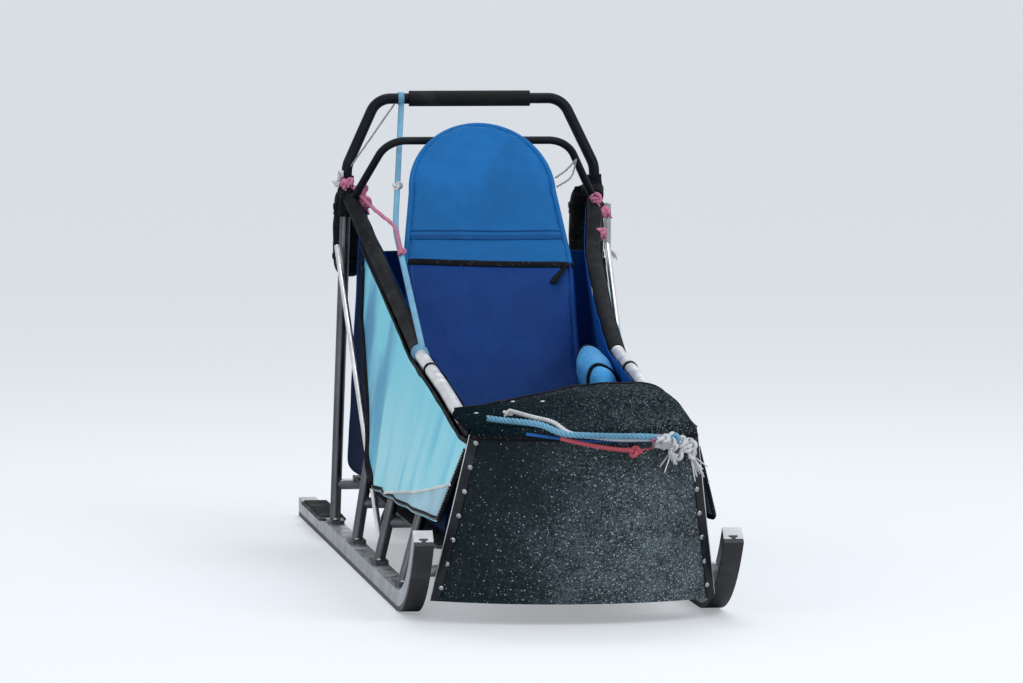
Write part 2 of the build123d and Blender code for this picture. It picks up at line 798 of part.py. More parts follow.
# Handlebar: continues both rear stanchions and crosses at hip height
handlebar_points = []
for sign in (1, -1):
    foot = Vector(nose_x - rear_foot_back, sign * runner_y, runner_top)
    joint = Vector(nose_x - joint_back, sign * joint_half_width, joint_height)
    axis = (joint - foot) * (1 / (joint_height - runner_top))
    base = foot + axis * (rear_stanchion_top - runner_top)
    knee = foot + axis * (rear_stanchion_top + handlebar_straight - runner_top)
    corner = Vector(nose_x - handlebar_back, sign * handlebar_half_width, handlebar_height)
    handlebar_points += [base, knee, corner] if sign > 0 else [corner, knee, base]
handlebar_radii = bend_radii(handlebar_points)
handlebar_radii[1] = handlebar_corner_radius
handlebar_radii[2] = handlebar_corner_radius
with BuildPart() as handlebar:
    add(bent_tube(handlebar_points, handlebar_radii, handlebar_radius))
handlebar.part.label = "handlebar"
export_step(handlebar.part, "parts/handlebar.step")

# Grip sleeve on the handlebar
grip_axis = Vector(nose_x - handlebar_back, 0, handlebar_height)
grip_half = Vector(0, grip_length / 2, 0)
with BuildPart() as handlebar_grip:
    add(rod(grip_axis - grip_half, grip_axis + grip_half, handlebar_radius + pin_gap + grip_thickness))
    add(rod(grip_axis - grip_half, grip_axis + grip_half, handlebar_radius + pin_gap), mode=Mode.SUBTRACT)
handlebar_grip.part.label = "handlebar_grip"
export_step(handlebar_grip.part, "parts/handlebar_grip.step")

# Hinge rod behind the rear crossbar, in two lugs
rear_bar_share = (crossbar_height - runner_top) / (joint_height - runner_top)
rear_bar_x = nose_x - rear_foot_back - rear_bar_share * (joint_back - rear_foot_back)
hinge_x = rear_bar_x - hinge_offset
hinge = Vector(hinge_x, 0, crossbar_height)
rod_half = Vector(0, lug_side + 2 * lug_thickness, 0)
with BuildPart() as hinge_rod:
    add(rod(hinge - rod_half, hinge + rod_half, hinge_rod_radius))
hinge_rod.part.label = "hinge_rod"
export_step(hinge_rod.part, "parts/hinge_rod.step")

for side, sign in SIDES:
    with BuildPart() as hinge_lug:
        with BuildSketch(Plane.XZ.offset(-sign * (lug_side + lug_thickness / 2))):
            with Locations(((rear_bar_x + hinge_x) / 2, crossbar_height)):
                SlotCenterToCenter(hinge_offset, 2 * crossbar_radius)
            with Locations((rear_bar_x, crossbar_height)):
                Circle(crossbar_radius + seat_gap, mode=Mode.SUBTRACT)
            with Locations((hinge_x, crossbar_height)):
                Circle(hinge_rod_radius + pin_gap, mode=Mode.SUBTRACT)
        extrude(amount=lug_thickness / 2, both=True)
    hinge_lug.part.label = f"hinge_lug_{side}"
    export_step(hinge_lug.part, f"parts/hinge_lug_{side}.step")

# Brake: a bent tube with two eyes on the hinge rod
with BuildPart() as brake_bar:
    arm_x = hinge_x - brake_eye_radius + 2
    bar_x = hinge_x - brake_reach
    arm_points = [
        Vector(arm_x, brake_arm_side, crossbar_height),
        Vector(bar_x, brake_arm_side, crossbar_height),
        Vector(bar_x, -brake_arm_side, crossbar_height),
        Vector(arm_x, -brake_arm_side, crossbar_height),
    ]
    add(bent_tube(arm_points, [brake_corner_radius] * 2, brake_tube_radius))
    for sign in (1, -1):
        with BuildSketch(Plane.XZ.offset(-sign * brake_arm_side)):
            with Locations((hinge_x, crossbar_height)):
                Circle(brake_eye_radius)
        extrude(amount=brake_tube_radius, both=True)
    reach = Vector(0, brake_arm_side + 2 * brake_tube_radius, 0)
    add(rod(hinge - reach, hinge + reach, hinge_rod_radius + pin_gap), mode=Mode.SUBTRACT)
brake_bar.part.label = "brake_bar"
export_step(brake_bar.part, "parts/brake_bar.step")

# Brake claws: tapered plates under the bar
bar_reach = Vector(0, brake_arm_side - brake_corner_radius, 0)
bar_centre = Vector(bar_x, 0, crossbar_height)
bar_room = rod(bar_centre - bar_reach, bar_centre + bar_reach, brake_tube_radius + seat_gap)
for side, sign in SIDES:
    with BuildPart() as brake_claw:
        with BuildSketch(Plane.XZ.offset(-sign * claw_side)):
            with BuildLine():
                drop = claw_tip_height - crossbar_height
                front = Line((claw_width / 2, 0), (claw_rake + claw_tip_width / 2, drop))
                rear = RadiusArc((claw_rake - claw_tip_width / 2, drop), (-claw_width / 2, 0), -2 * brake_reach)
                Line(front @ 1, rear @ 0)
                Line(rear @ 1, front @ 0)
            make_face()
        extrude(amount=claw_thickness / 2, both=True)
    moved = Location((bar_x, 0, crossbar_height)) * brake_claw.part
    with BuildPart() as brake_claw:
        add(moved)
        add(bar_room, mode=Mode.SUBTRACT)
    brake_claw.part.label = f"brake_claw_{side}"
    export_step(brake_claw.part, f"parts/brake_claw_{side}.step")

# Drag mat: ribbed rubber that hangs from the rod, its tail on the ground
mat_depth = mat_thickness / 2 + mat_rib_height
mat_slope = asin((crossbar_height - ground_gap) / hypot(mat_length, mat_depth)) - atan(mat_depth / mat_length)
mat_plane = Plane(origin=hinge, x_dir=(-cos(mat_slope), 0, -sin(mat_slope)), z_dir=(0, 1, 0))
mat_rib_pitch = (mat_length - 2 * mat_sleeve_radius - mat_rib_width) / (mat_rib_count - 0.5)
with BuildPart() as drag_mat:
    with BuildSketch(mat_plane):
        Circle(mat_sleeve_radius)
        with Locations((mat_length / 2, 0)):
            Rectangle(mat_length, mat_thickness)
        for index in range(mat_rib_count):
            rib_x = mat_length - mat_rib_width / 2 - index * mat_rib_pitch
            with Locations((rib_x, -mat_thickness / 2 - mat_rib_height / 2)):
                Rectangle(mat_rib_width, mat_rib_height)
        Circle(hinge_rod_radius + pin_gap, mode=Mode.SUBTRACT)
    extrude(amount=mat_half_width, both=True)
drag_mat.part.label = "drag_mat"
export_step(drag_mat.part, "parts/drag_mat.step")

# Bridle rope round the nose and the tow ring that it holds
bridle_angle = degrees(asin(bridle_start_half_width / bridle_arc_radius))
with BuildPart() as bridle:
    with BuildLine(Plane.XY.offset(bridle_height)) as bridle_route:
        CenterArc((bridle_x, 0), bridle_arc_radius, -bridle_angle, 2 * bridle_angle)
    with BuildSketch(Plane(origin=bridle_route.line @ 0, z_dir=bridle_route.line % 0)):
        Circle(bridle_radius)
    sweep()
bridle.part.label = "bridle"
export_step(bridle.part, "parts/bridle.step")

with BuildPart() as tow_ring:
    with BuildSketch(Plane.XY.offset(bridle_height - ring_thickness / 2)):
        with Locations((bridle_x + ring_distance * cos(ring_angle), ring_distance * sin(ring_angle))):
            Circle(ring_radius)
            Circle(ring_hole_radius, mode=Mode.SUBTRACT)
    extrude(amount=ring_thickness)
tow_ring.part.label = "tow_ring"
export_step(tow_ring.part, "parts/tow_ring.step")
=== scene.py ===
from math import asin, ceil, cos, exp, pi, radians, sin, sqrt

import bmesh
import bpy
from mathutils import Matrix, Vector, noise
from mathutils.bvhtree import BVHTree


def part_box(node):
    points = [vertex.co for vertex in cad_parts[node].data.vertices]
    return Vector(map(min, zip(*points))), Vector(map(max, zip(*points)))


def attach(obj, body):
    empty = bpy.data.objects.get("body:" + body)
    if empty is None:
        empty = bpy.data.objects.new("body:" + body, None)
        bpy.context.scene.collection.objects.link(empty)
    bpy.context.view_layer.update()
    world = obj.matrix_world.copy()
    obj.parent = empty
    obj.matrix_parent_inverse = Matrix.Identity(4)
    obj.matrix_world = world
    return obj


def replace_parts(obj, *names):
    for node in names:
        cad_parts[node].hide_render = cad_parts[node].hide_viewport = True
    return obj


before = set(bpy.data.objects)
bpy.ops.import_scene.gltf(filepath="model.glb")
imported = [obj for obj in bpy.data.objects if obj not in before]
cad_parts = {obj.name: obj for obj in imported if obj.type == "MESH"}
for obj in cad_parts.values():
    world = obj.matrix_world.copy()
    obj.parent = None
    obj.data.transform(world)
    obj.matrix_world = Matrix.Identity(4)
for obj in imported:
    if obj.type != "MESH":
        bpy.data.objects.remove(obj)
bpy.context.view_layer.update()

bl_info = {
    "name": "Dog sled finish",
    "version": (1, 0, 0),
    "blender": (4, 5, 0),
    "location": "3D View > Sidebar > Dog sled",
    "description": "Cloth, ropes, fittings and finishes of a touring dog sled",
    "category": "Object",
}

# Places that follow from the frame and from the sled's driving sizes, in metres.
# A distance called back is measured from the foremost point of the nose shield.
NOSE_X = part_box("nose_shield")[1].x
RUNNER_Y = 0.285
RUNNER_TOP = 0.040
RAIL_BENDS = (
    (0.230, 0.190, 0.350),
    (0.620, 0.192, 0.398),
    (1.060, 0.194, 0.440),
    (1.350, 0.204, 0.516),
    (1.640, 0.222, 0.604),
    (1.880, 0.258, 0.725),
)
STANCHION_BACKS = (0.520, 0.960, 1.400)
REAR_FOOT_BACK = 1.850
BED_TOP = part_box("bed")[1].z
BAG_FRONT_BACK = 0.302
BAG_REAR_BACK = 1.831
PANEL_HEM = (
    (0.095, 0.322),
    (0.170, 0.190),
    (0.230, 0.186),
    (0.620, 0.176),
    (1.060, 0.170),
    (1.180, 0.168),
    (1.350, 0.262),
    (1.600, 0.470),
    (1.640, 0.570),
)
PANEL_FRONT_BACK = PANEL_HEM[0][0]
PANEL_REAR_BACK = 1.652
PIPING = ((0.131, 0.262), (0.490, 0.218), (0.790, 0.192), (0.930, 0.180))
BAND_BELOW_RAIL = 0.014
SKIN_OFFSET = 0.0171
WALL_OFFSET = -0.0161
COVER_OFFSET = -0.0191
COVER_REACH = 0.0345
BACKREST_FOOT = Vector((NOSE_X - 1.290, 0, 0.1545))
BACKREST_LEAN = radians(33.5)
BACKREST_UP = Vector((-sin(BACKREST_LEAN), 0, cos(BACKREST_LEAN)))
BACKREST_AHEAD = Vector((cos(BACKREST_LEAN), 0, sin(BACKREST_LEAN)))
BACKREST_HALF_WIDTH = 0.172
BACKREST_SPRING_HALF_WIDTH = 0.150
BACKREST_ARCH_RISE = 0.162
HOOD_HALF_WIDTH = 0.205
HOOD_REAR_BACK = 0.362
NOSE_EDGE_Z = 0.365
UP = Vector((0, 0, 1))
ACROSS = Vector((0, 1, 0))
AHEAD = Vector((1, 0, 0))
SIDES = (("left", 1), ("right", -1))
MERGE_DISTANCE = 1e-5
SWELL_FRAMES = 12


def up_backrest(height):
    """Distance up the backrest's own plane at which it reaches a height."""
    return (height - BACKREST_FOOT.z) / cos(BACKREST_LEAN)


BACKREST_TAPER = up_backrest(0.590)
BACKREST_TOP = up_backrest(0.865)
BACKREST_SPRING = BACKREST_TOP - BACKREST_ARCH_RISE


def spread(start, end, count):
    """Values from start to end in so many even steps."""
    return [start + (end - start) * number / count for number in range(count + 1)]


def around(count):
    """Cosine and sine of so many even angles round a circle."""
    return [(cos(2 * pi * number / count), sin(2 * pi * number / count)) for number in range(count)]


def at_back(table, back):
    """The other columns of a table at a distance back, in line between its rows."""
    values = table[0][1:]
    for row, next_row in zip(table, table[1:]):
        if back >= row[0]:
            share = min((back - row[0]) / (next_row[0] - row[0]), 1)
            values = [start + share * (end - start) for start, end in zip(row[1:], next_row[1:])]
    return values


def side_y(back, height, offset=0.0):
    """Half width of the plane through rail and runner, pushed outwards by an offset."""
    rail_y, rail_z = at_back(RAIL_BENDS, back)
    share = (rail_z - height) / (rail_z - RUNNER_TOP)
    return rail_y + share * (RUNNER_Y - rail_y) + offset


def blend_share(low, high, value):
    """0 at low, 1 at high and past them, and a soft step between them."""
    share = min(max((value - low) / (high - low), 0), 1)
    return share * share * (3 - 2 * share)


def ripple(place, size, seed=0.0):
    """Smooth noise from -1 to 1 whose lumps are about size metres."""
    return noise.noise(Vector(place) / size + Vector((seed, seed * 1.7, seed * 0.3)))


def shield_arc(height):
    """The nose shield's outer face at a height: centre's distance back, radius and half angle."""
    low_half, low_sagitta, high_half, high_sagitta = 0.262, 0.100, 0.205, 0.070
    low_radius = (low_half**2 + low_sagitta**2) / (2 * low_sagitta)
    high_radius = (high_half**2 + high_sagitta**2) / (2 * high_sagitta)
    share = (height - 0.040) / 0.325
    low_back = 0.130 + low_radius
    low_angle, high_angle = asin(low_half / low_radius), asin(high_half / high_radius)
    return (
        low_back + share * (high_radius - low_back),
        low_radius + share * (high_radius - low_radius),
        low_angle + share * (high_angle - low_angle),
    )


def shield_spot(side, height, out=0.0):
    """A point on the shield at a half width and height, moved out by some metres."""
    back, radius, _ = shield_arc(height)
    angle = asin(side / radius)
    reach = radius + out
    return Vector((NOSE_X - back + reach * cos(angle), reach * sin(angle), height))


def shield_facing(side, height):
    """Direction in which the shield faces at a half width and height."""
    spot = shield_spot(side, height)
    across = shield_spot(side + 0.002, height) - spot
    up = shield_spot(side, height + 0.002) - spot
    return across.cross(up).normalized()


def bent_path(points, share, steps=6):
    """A polyline whose corners are round arcs that use a share of the shorter run."""
    points = [Vector(point) for point in points]
    path = [points[0]]
    for before, corner, after in zip(points, points[1:], points[2:]):
        run_in, run_out = corner - before, after - corner
        reach = share * min(run_in.length, run_out.length)
        start = corner - run_in.normalized() * reach
        end = corner + run_out.normalized() * reach
        weight = cos(run_in.angle(run_out) / 2)
        for t in spread(0, 1, steps):
            parts = ((1 - t) ** 2, 2 * t * (1 - t) * weight, t * t)
            path.append((start * parts[0] + corner * parts[1] + end * parts[2]) / sum(parts))
    return path + [points[-1]]


def smooth_path(points, step):
    """Points about a step apart on a smooth curve through the given points."""
    points = [Vector(point) for point in points]
    ends = [2 * points[0] - points[1]] + points + [2 * points[-1] - points[-2]]
    path = []
    for a, b, c, d in zip(ends, ends[1:], ends[2:], ends[3:]):
        count = max(2, ceil((c - b).length / step))
        for index in range(count):
            t = index / count
            bend = (2 * a - 5 * b + 4 * c - d) * t * t + (3 * b - a - 3 * c + d) * t**3
            path.append(0.5 * (2 * b + (c - a) * t + bend))
    return path + [points[-1]]


def even_path(points, step):
    """The same line with points an even step apart."""
    lengths = [(b - a).length for a, b in zip(points, points[1:])]
    count = max(2, round(sum(lengths) / step))
    step = sum(lengths) / count
    path, index, walked = [points[0]], 0, 0.0
    for number in range(1, count):
        while index < len(lengths) - 1 and walked + lengths[index] < number * step:
            walked += lengths[index]
            index += 1
        share = (number * step - walked) / max(lengths[index], 1e-9)
        path.append(points[index].lerp(points[index + 1], share))
    return path + [points[-1]]


def cross_frames(points, closed=False, up=None):
    """Two cross directions at each point of a line, with no sudden twist."""
    count = len(points)
    side, frames = up, []
    for index in range(count):
        following = points[(index + 1) % count] if closed else points[min(index + 1, count - 1)]
        behind = points[index - 1] if closed else points[max(index - 1, 0)]
        tangent = (following - behind).normalized()
        guide = up or side or (UP if abs(tangent.z) < 0.9 else AHEAD)
        side = (guide - tangent * guide.dot(tangent)).normalized()
        frames.append((side, tangent.cross(side)))
    return frames


def rail_line(sign, step=0.01, start=0.0, end=9.0):
    """The rail's axis on one side, from front to back, as even points between two distances back."""
    front = Vector((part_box("side_rail_left")[1].x, sign * RAIL_BENDS[0][1], RAIL_BENDS[0][2]))
    corners = [front] + [Vector((NOSE_X - back, sign * y, z)) for back, y, z in RAIL_BENDS]
    line = even_path(bent_path(corners, 0.2), step)
    return [point for point in line if start <= NOSE_X - point.x <= end]


class Shape:
    """Points, faces and UV places of a mesh that is put together from several runs."""

    def __init__(self):
        self.points = []
        self.faces = []
        self.places = []

    def add_face(self, corners, places):
        self.faces.append(corners)
        self.places.append(places)

    def grid(self, rows, places=None, closed=False):
        """Joins rows of points into quads. Places holds a UV pair for each point of each row."""
        start = len(self.points)
        width = len(rows[0])
        for row in rows:
            self.points += row
        if places is None:
            places = [[(column * 0.01, line * 0.01) for column in range(width)] for line in range(len(rows))]
        for line in range(len(rows) - 1):
            for column in range(width if closed else width - 1):
                following = (column + 1) % width
                corners = ((line, column), (line, following), (line + 1, following), (line + 1, column))
                pairs = [places[row][number] for row, number in corners]
                if closed and following == 0:
                    wrap = 2 * places[line][width - 1][0] - places[line][width - 2][0]
                    pairs[1] = (wrap, pairs[1][1])
                    pairs[2] = (wrap, pairs[2][1])
                self.add_face([start + row * width + number for row, number in corners], pairs)
        return start

    def solid(self, rows, places=None):
        """A filled body: closed rows of points along it, with both ends capped."""
        first, width = self.grid(rows, places, closed=True), len(rows[0])
        last = first + (len(rows) - 1) * width
        self.add_face(list(reversed(range(first, first + width))), [(0, 0)] * width)
        self.add_face(list(range(last, last + width)), [(0, 0)] * width)

    def tube(self, points, radius, sides=8, closed=False, up=None, height=None):
        """A round or flattened tube along points. Radius and height are numbers, or one for each point."""
        rows, places, length = [], [], 0.0
        for index, (side, across) in enumerate(cross_frames(points, closed, up)):
            size = radius[index] if isinstance(radius, list) else radius
            tall = height[index] if isinstance(height, list) else height or size
            if index:
                length += (points[index] - points[index - 1]).length
            rows.append([points[index] + side * (tall * c) + across * (size * s) for c, s in around(sides)])
            places.append([(size * 2 * pi * number / sides, length) for number in range(sides)])
        if closed:
            places.append([(u, length + 0.01) for u, _ in places[0]])
            self.grid(rows + rows[:1], places, closed=True)
        else:
            self.solid(rows, places)

    def rope(self, points, radius, pitch, sides=6):
        """A laid rope: three strands that wind round one line."""
        frames = cross_frames(points)
        for strand in range(3):
            line, length = [], 0.0
            for index, (side, across) in enumerate(frames):
                if index:
                    length += (points[index] - points[index - 1]).length
                angle = 2 * pi * (length / pitch + strand / 3)
                line.append(points[index] + (side * cos(angle) + across * sin(angle)) * radius * 0.54)
            self.tube(line, radius * 0.48, sides)

    def mesh(self, name, cloth=True):
        """The mesh with its faces outwards. A cloth one has its UV places and its seams merged."""
        mesh = bpy.data.meshes.new(name)
        mesh.from_pydata([tuple(point) for point in self.points], [], self.faces)
        if cloth:
            flat = [pair for pairs in self.places for pair in pairs]
            for loop, pair in zip(mesh.uv_layers.new(name="cloth_uv").data, flat):
                loop.uv = pair
        work = bmesh.new()
        work.from_mesh(mesh)
        if cloth:
            bmesh.ops.remove_doubles(work, verts=work.verts, dist=MERGE_DISTANCE)
        bmesh.ops.recalc_face_normals(work, faces=work.faces)
        work.to_mesh(mesh)
        work.free()
        return mesh

    def build(self, name, finish_name, slot):
        """Makes the piece, which rides on the sled's root body."""
        return finish_piece(self.mesh(name), name, finish(finish_name))


def linked(name, data):
    """A new object in the scene for a mesh, lamp or camera."""
    made = bpy.data.objects.new(name, data)
    bpy.context.scene.collection.objects.link(made)
    return made


def aimed(piece, place, aim):
    """Puts a lamp or camera at a place and turns it to a point."""
    piece.location = place
    piece.rotation_euler = (Vector(aim) - piece.location).to_track_quat("-Z", "Y").to_euler()
    return piece


def finish_piece(mesh, name, material, body="root"):
    """Links an object for a mesh, gives it its finish and lets it ride on a body."""
    piece = linked(name, mesh)
    mesh.materials.clear()
    mesh.materials.append(material)
    mesh.shade_smooth()
    if body:
        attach(piece, body)
    return piece


def smooth_once(piece):
    """Adds one round of smoothing."""
    smoothing = piece.modifiers.new("smoothing", "SUBSURF")
    smoothing.levels = 1
    smoothing.render_levels = 1


def thicken(piece, thickness):
    """Gives a sheet its thickness and one round of smoothing."""
    wall = piece.modifiers.new("thickness", "SOLIDIFY")
    wall.thickness = thickness
    wall.offset = 0.0
    smooth_once(piece)


def evaluated_mesh(piece):
    """The mesh that a piece's modifiers make."""
    graph = bpy.context.evaluated_depsgraph_get()
    return bpy.data.meshes.new_from_object(piece.evaluated_get(graph), depsgraph=graph)


def apply_modifiers(piece):
    """Turns a piece's modifiers into its mesh."""
    mesh, old = evaluated_mesh(piece), piece.data
    piece.modifiers.clear()
    piece.data = mesh
    bpy.data.meshes.remove(old)


def puff(mesh, name, voxel, pressure, cap):
    """Remeshes a closed shape and lets its cloth swell, with no point moving further than a cap."""
    piece = linked(name, mesh)
    remesh = piece.modifiers.new("even", "REMESH")
    remesh.mode = "VOXEL"
    remesh.voxel_size = voxel
    apply_modifiers(piece)
    rest = [vertex.co.copy() for vertex in piece.data.vertices]
    scene = bpy.context.scene
    cloth = piece.modifiers.new("swell", "CLOTH")
    cloth.settings.use_pressure = True
    cloth.settings.uniform_pressure_force = pressure
    cloth.settings.tension_stiffness = 15.0
    cloth.settings.compression_stiffness = 15.0
    cloth.settings.bending_stiffness = 0.5
    cloth.settings.mass = 0.3
    cloth.settings.effector_weights.gravity = 0
    cloth.point_cache.frame_start = 1
    cloth.point_cache.frame_end = SWELL_FRAMES
    for number in range(1, SWELL_FRAMES + 1):
        scene.frame_set(number)
    apply_modifiers(piece)
    scene.frame_set(1)
    for vertex, start in zip(piece.data.vertices, rest):
        move = vertex.co - start
        if move.length > cap:
            vertex.co = start + move * (cap / move.length)
    smooth_once(piece)
    apply_modifiers(piece)
    mesh = piece.data
    bpy.data.objects.remove(piece)
    return mesh


def skin_of(mesh):
    """A search tree of a filled piece's surface."""
    corners = [vertex.co for vertex in mesh.vertices]
    return BVHTree.FromPolygons(corners, [face.vertices for face in mesh.polygons])


def laid_on(skin, line, lift, inward):
    """The points of a line brought down onto a skin, each along its own way in, and lifted off it."""
    points = []
    for point in line:
        way = inward(point).normalized()
        spot = skin.ray_cast(point - way * 0.03, way, 0.1)[0]
        points.append(spot - way * lift if spot else point)
    return points


# Finishes


class Nodes:
    """Makes and links the nodes of one tree."""

    def __init__(self, tree):
        self.tree = tree

    def put(self, socket, value):
        """Links a value to a socket, or sets it there."""
        if isinstance(value, bpy.types.NodeSocket):
            self.tree.links.new(value, socket)
        else:
            socket.default_value = value

    def add(self, kind, inputs=None, **settings):
        """Adds a node, sets its properties, and links or sets its inputs."""
        made = self.tree.nodes.new(kind)
        for name, value in settings.items():
            setattr(made, name, value)
        for name, value in (inputs or {}).items():
            self.put(made.inputs[name], value)
        return made

    def maths(self, operation, first, second):
        return self.add("ShaderNodeMath", {0: first, 1: second}, operation=operation).outputs[0]

    def mix(self, factor, first, second):
        """Blends two colours, each a socket or a plain one."""
        pair = [one if isinstance(one, bpy.types.NodeSocket) else (*one[:3], 1) for one in (first, second)]
        return self.add("ShaderNodeMix", {0: factor, 6: pair[0], 7: pair[1]}, data_type="RGBA").outputs[2]


class Finish(Nodes):
    """A material with one shader, whose sockets are named with underscores for spaces."""

    def __init__(self, name, colour, roughness, **sockets):
        self.material = bpy.data.materials.new(name)
        self.material.use_nodes = True
        self.material.diffuse_color = (*colour, 1)
        super().__init__(self.material.node_tree)
        self.shader = self.tree.nodes["Principled BSDF"]
        self.finished(Base_Color=(*colour, 1), Roughness=roughness, **sockets)

    def finished(self, **sockets):
        """The material, after the shader's sockets are linked or set."""
        for name, value in sockets.items():
            self.put(self.shader.inputs[name.replace("_", " ")], value)
        return self.material

    def coordinates(self, follow="Object", scale=(1, 1, 1), turn=(0, 0, 0)):
        """The piece's own coordinates, stretched and turned."""
        source = self.add("ShaderNodeTexCoord").outputs[follow]
        inputs = {"Vector": source, "Scale": scale, "Rotation": turn}
        return self.add("ShaderNodeMapping", inputs).outputs["Vector"]

    def axes(self, vector):
        return self.add("ShaderNodeSeparateXYZ", {"Vector": vector}).outputs

    def attribute(self, name):
        return self.add("ShaderNodeAttribute", attribute_name=name).outputs["Fac"]

    def noise(self, vector, scale, detail=4.0, roughness=0.55):
        inputs = {"Vector": vector, "Scale": scale, "Detail": detail, "Roughness": roughness}
        return self.add("ShaderNodeTexNoise", inputs).outputs["Fac"]

    def step(self, value, low, high, start=0.0, end=1.0):
        """Maps a value between two limits to a range, held at its ends."""
        inputs = {"Value": value, "From Min": low, "From Max": high, "To Min": start, "To Max": end}
        return self.add("ShaderNodeMapRange", inputs, interpolation_type="SMOOTHSTEP").outputs["Result"]

    def bump(self, height, distance, strength, normal=None):
        inputs = {"Height": height, "Distance": distance, "Strength": strength}
        if normal:
            inputs["Normal"] = normal
        return self.add("ShaderNodeBump", inputs).outputs["Normal"]

    def weave(self, vector, threads):
        """Height of a plain weave with so many threads a metre, from two crossed waves."""
        inputs = {"Vector": vector, "Scale": threads * 0.314, "Distortion": 0.6, "Detail": 1.0, "Detail Scale": 2.0}
        waves = [
            self.add("ShaderNodeTexWave", inputs, bands_direction=direction).outputs["Fac"]
            for direction in ("X", "Y")
        ]
        return self.maths("MULTIPLY", *waves)

    def shade_weave(self, weave, depth, tint, dark):
        """Darkens a tint in the hollows of a weave: painted shade between the threads."""
        return self.mix(self.step(weave, 0.0, 0.5, depth, 0.0), tint, dark)

    def cloth_bumps(self, crease, weave):
        """The bumps of soft creases under a fine weave."""
        return self.bump(weave, 0.0006, 0.5, self.bump(crease, 0.006, 0.4))


def shade(colour, factor):
    return tuple(min(channel * factor, 1.0) for channel in colour[:3])


def cloth_finish(name, colour, threads=500, follow="UV", roughness=0.62, sheen=0.04, dust=0.0, gloss=0.22):
    """Woven cloth with slow colour changes, painted shade in long fold streaks and a fine weave."""
    look = Finish(name, colour, roughness, Sheen_Weight=sheen, Sheen_Roughness=0.4, Specular_IOR_Level=gloss)
    place = look.coordinates()
    patches = look.step(look.noise(place, 9.0, 5.0), 0.3, 0.7)
    tint = look.mix(patches, shade(colour, 0.80), shade(colour, 1.15))
    # Long streaks darkened to 0.62 of the colour: painted shade in the cloth's folds.
    streaks = look.noise(look.coordinates(scale=(1, 1, 0.15)), 55.0, 3.0)
    tint = look.mix(look.step(streaks, 0.45, 0.75, 0.0, 0.35), tint, shade(colour, 0.62))
    weave = look.weave(look.coordinates(follow), threads)
    tint = look.shade_weave(weave, 0.30, tint, shade(colour, 0.45))
    if dust:
        specks = look.noise(place, 160.0, 2.0)
        tint = look.mix(look.step(specks, 0.62, 0.70, 0.0, dust), tint, (0.75, 0.78, 0.80))
    worn = look.step(look.noise(place, 22.0), 0.3, 0.7, roughness - 0.08, roughness + 0.10)
    creases = look.bump(look.noise(place, 34.0, 5.0, 0.6), 0.004, 0.35)
    return look.finished(Base_Color=tint, Roughness=worn, Normal=look.bump(weave, 0.0006, 0.55, creases))


def metal_finish(name, colour, roughness, grain=(1, 1, 1)):
    """Satin tube with drawn grain, handling marks and dull patches."""
    look = Finish(name, colour, roughness, Metallic=1.0)
    place = look.coordinates()
    drawn = look.noise(look.coordinates(scale=grain), 260.0, 3.0)
    patches = look.step(look.noise(place, 14.0, 5.0), 0.35, 0.70)
    tint = look.mix(patches, shade(colour, 0.75), colour)
    tint = look.mix(look.step(drawn, 0.60, 0.72, 0.0, 0.35), tint, shade(colour, 1.25))
    rough = look.step(look.noise(place, 30.0), 0.3, 0.7, roughness - 0.08, roughness + 0.14)
    return look.finished(Base_Color=tint, Roughness=rough, Normal=look.bump(drawn, 0.0004, 0.25))


def rubber_finish(name, colour=(0.03, 0.03, 0.032), roughness=0.78, dust=0.35, gloss=0.28):
    """Dull rubber with a fine grain and pale dried snow in its hollows."""
    look = Finish(name, colour, roughness, Specular_IOR_Level=gloss)
    place = look.coordinates()
    patches = look.step(look.noise(place, 18.0, 6.0), 0.48, 0.75, 0.0, dust)
    tint = look.mix(patches, colour, (0.20, 0.21, 0.22))
    return look.finished(Base_Color=tint, Normal=look.bump(look.noise(place, 420.0, 2.0), 0.0008, 0.5))


def speckled_finish(name, colour, flecks, density, film, roughness=0.45, lumps=0.0, gloss=0.1):
    """Black plastic or coated cloth with a stipple of dried snow, denser low down and to the sled's left."""
    look = Finish(name, colour, roughness, Specular_IOR_Level=gloss)
    place = look.coordinates()
    axes = look.axes(place)
    lower = look.step(axes["Z"], 0.42, 0.08, 0.40, 1.0)
    left = look.step(axes["Y"], -0.20, 0.12, 0.12, 1.0)
    clouds = look.step(look.noise(place, 9.0, 5.0, 0.65), 0.32, 0.60, 0.55, 1.0)
    amount = look.maths("MULTIPLY", look.maths("MULTIPLY", lower, left), clouds)
    tint = colour
    for scale, low, share in ((150.0, 0.46, 0.42), (340.0, 0.50, 0.50)):
        grain = look.step(look.noise(place, scale, 3.0, 0.75), low, low + 0.16, 0.0, share * density)
        tint = look.mix(look.maths("MULTIPLY", grain, amount), tint, (0.30, 0.36, 0.39))
    haze = look.step(look.noise(place, 26.0, 6.0, 0.7), 0.35, 0.70, 0.25, 1.0)
    haze = look.maths("MULTIPLY", haze, look.maths("MULTIPLY", amount, film))
    tint = look.mix(haze, tint, (0.16, 0.21, 0.24))
    dots = None
    for scale, size, share in flecks:
        cells = look.add("ShaderNodeTexVoronoi", {"Vector": place, "Scale": scale, "Randomness": 1.0}).outputs
        dot = look.step(cells["Distance"], size, size + 0.14, share, 0.0)
        pick = look.add("ShaderNodeSeparateColor", {"Color": cells["Color"]}).outputs[0]
        dot = look.maths("MULTIPLY", dot, look.maths("LESS_THAN", pick, amount))
        dots = dot if dots is None else look.maths("MAXIMUM", dots, dot)
    tint = look.mix(dots, tint, (0.66, 0.73, 0.78))
    bumps = look.bump(dots, 0.0012, 0.7)
    if lumps:
        bumps = look.bump(look.noise(place, 60.0, 6.0, 0.6), lumps, 0.6, bumps)
        bumps = look.bump(look.weave(look.coordinates("UV"), 400), 0.0006, 0.5, bumps)
    return look.finished(Base_Color=tint, Roughness=look.step(dots, 0.0, 1.0, roughness, 0.85), Normal=bumps)


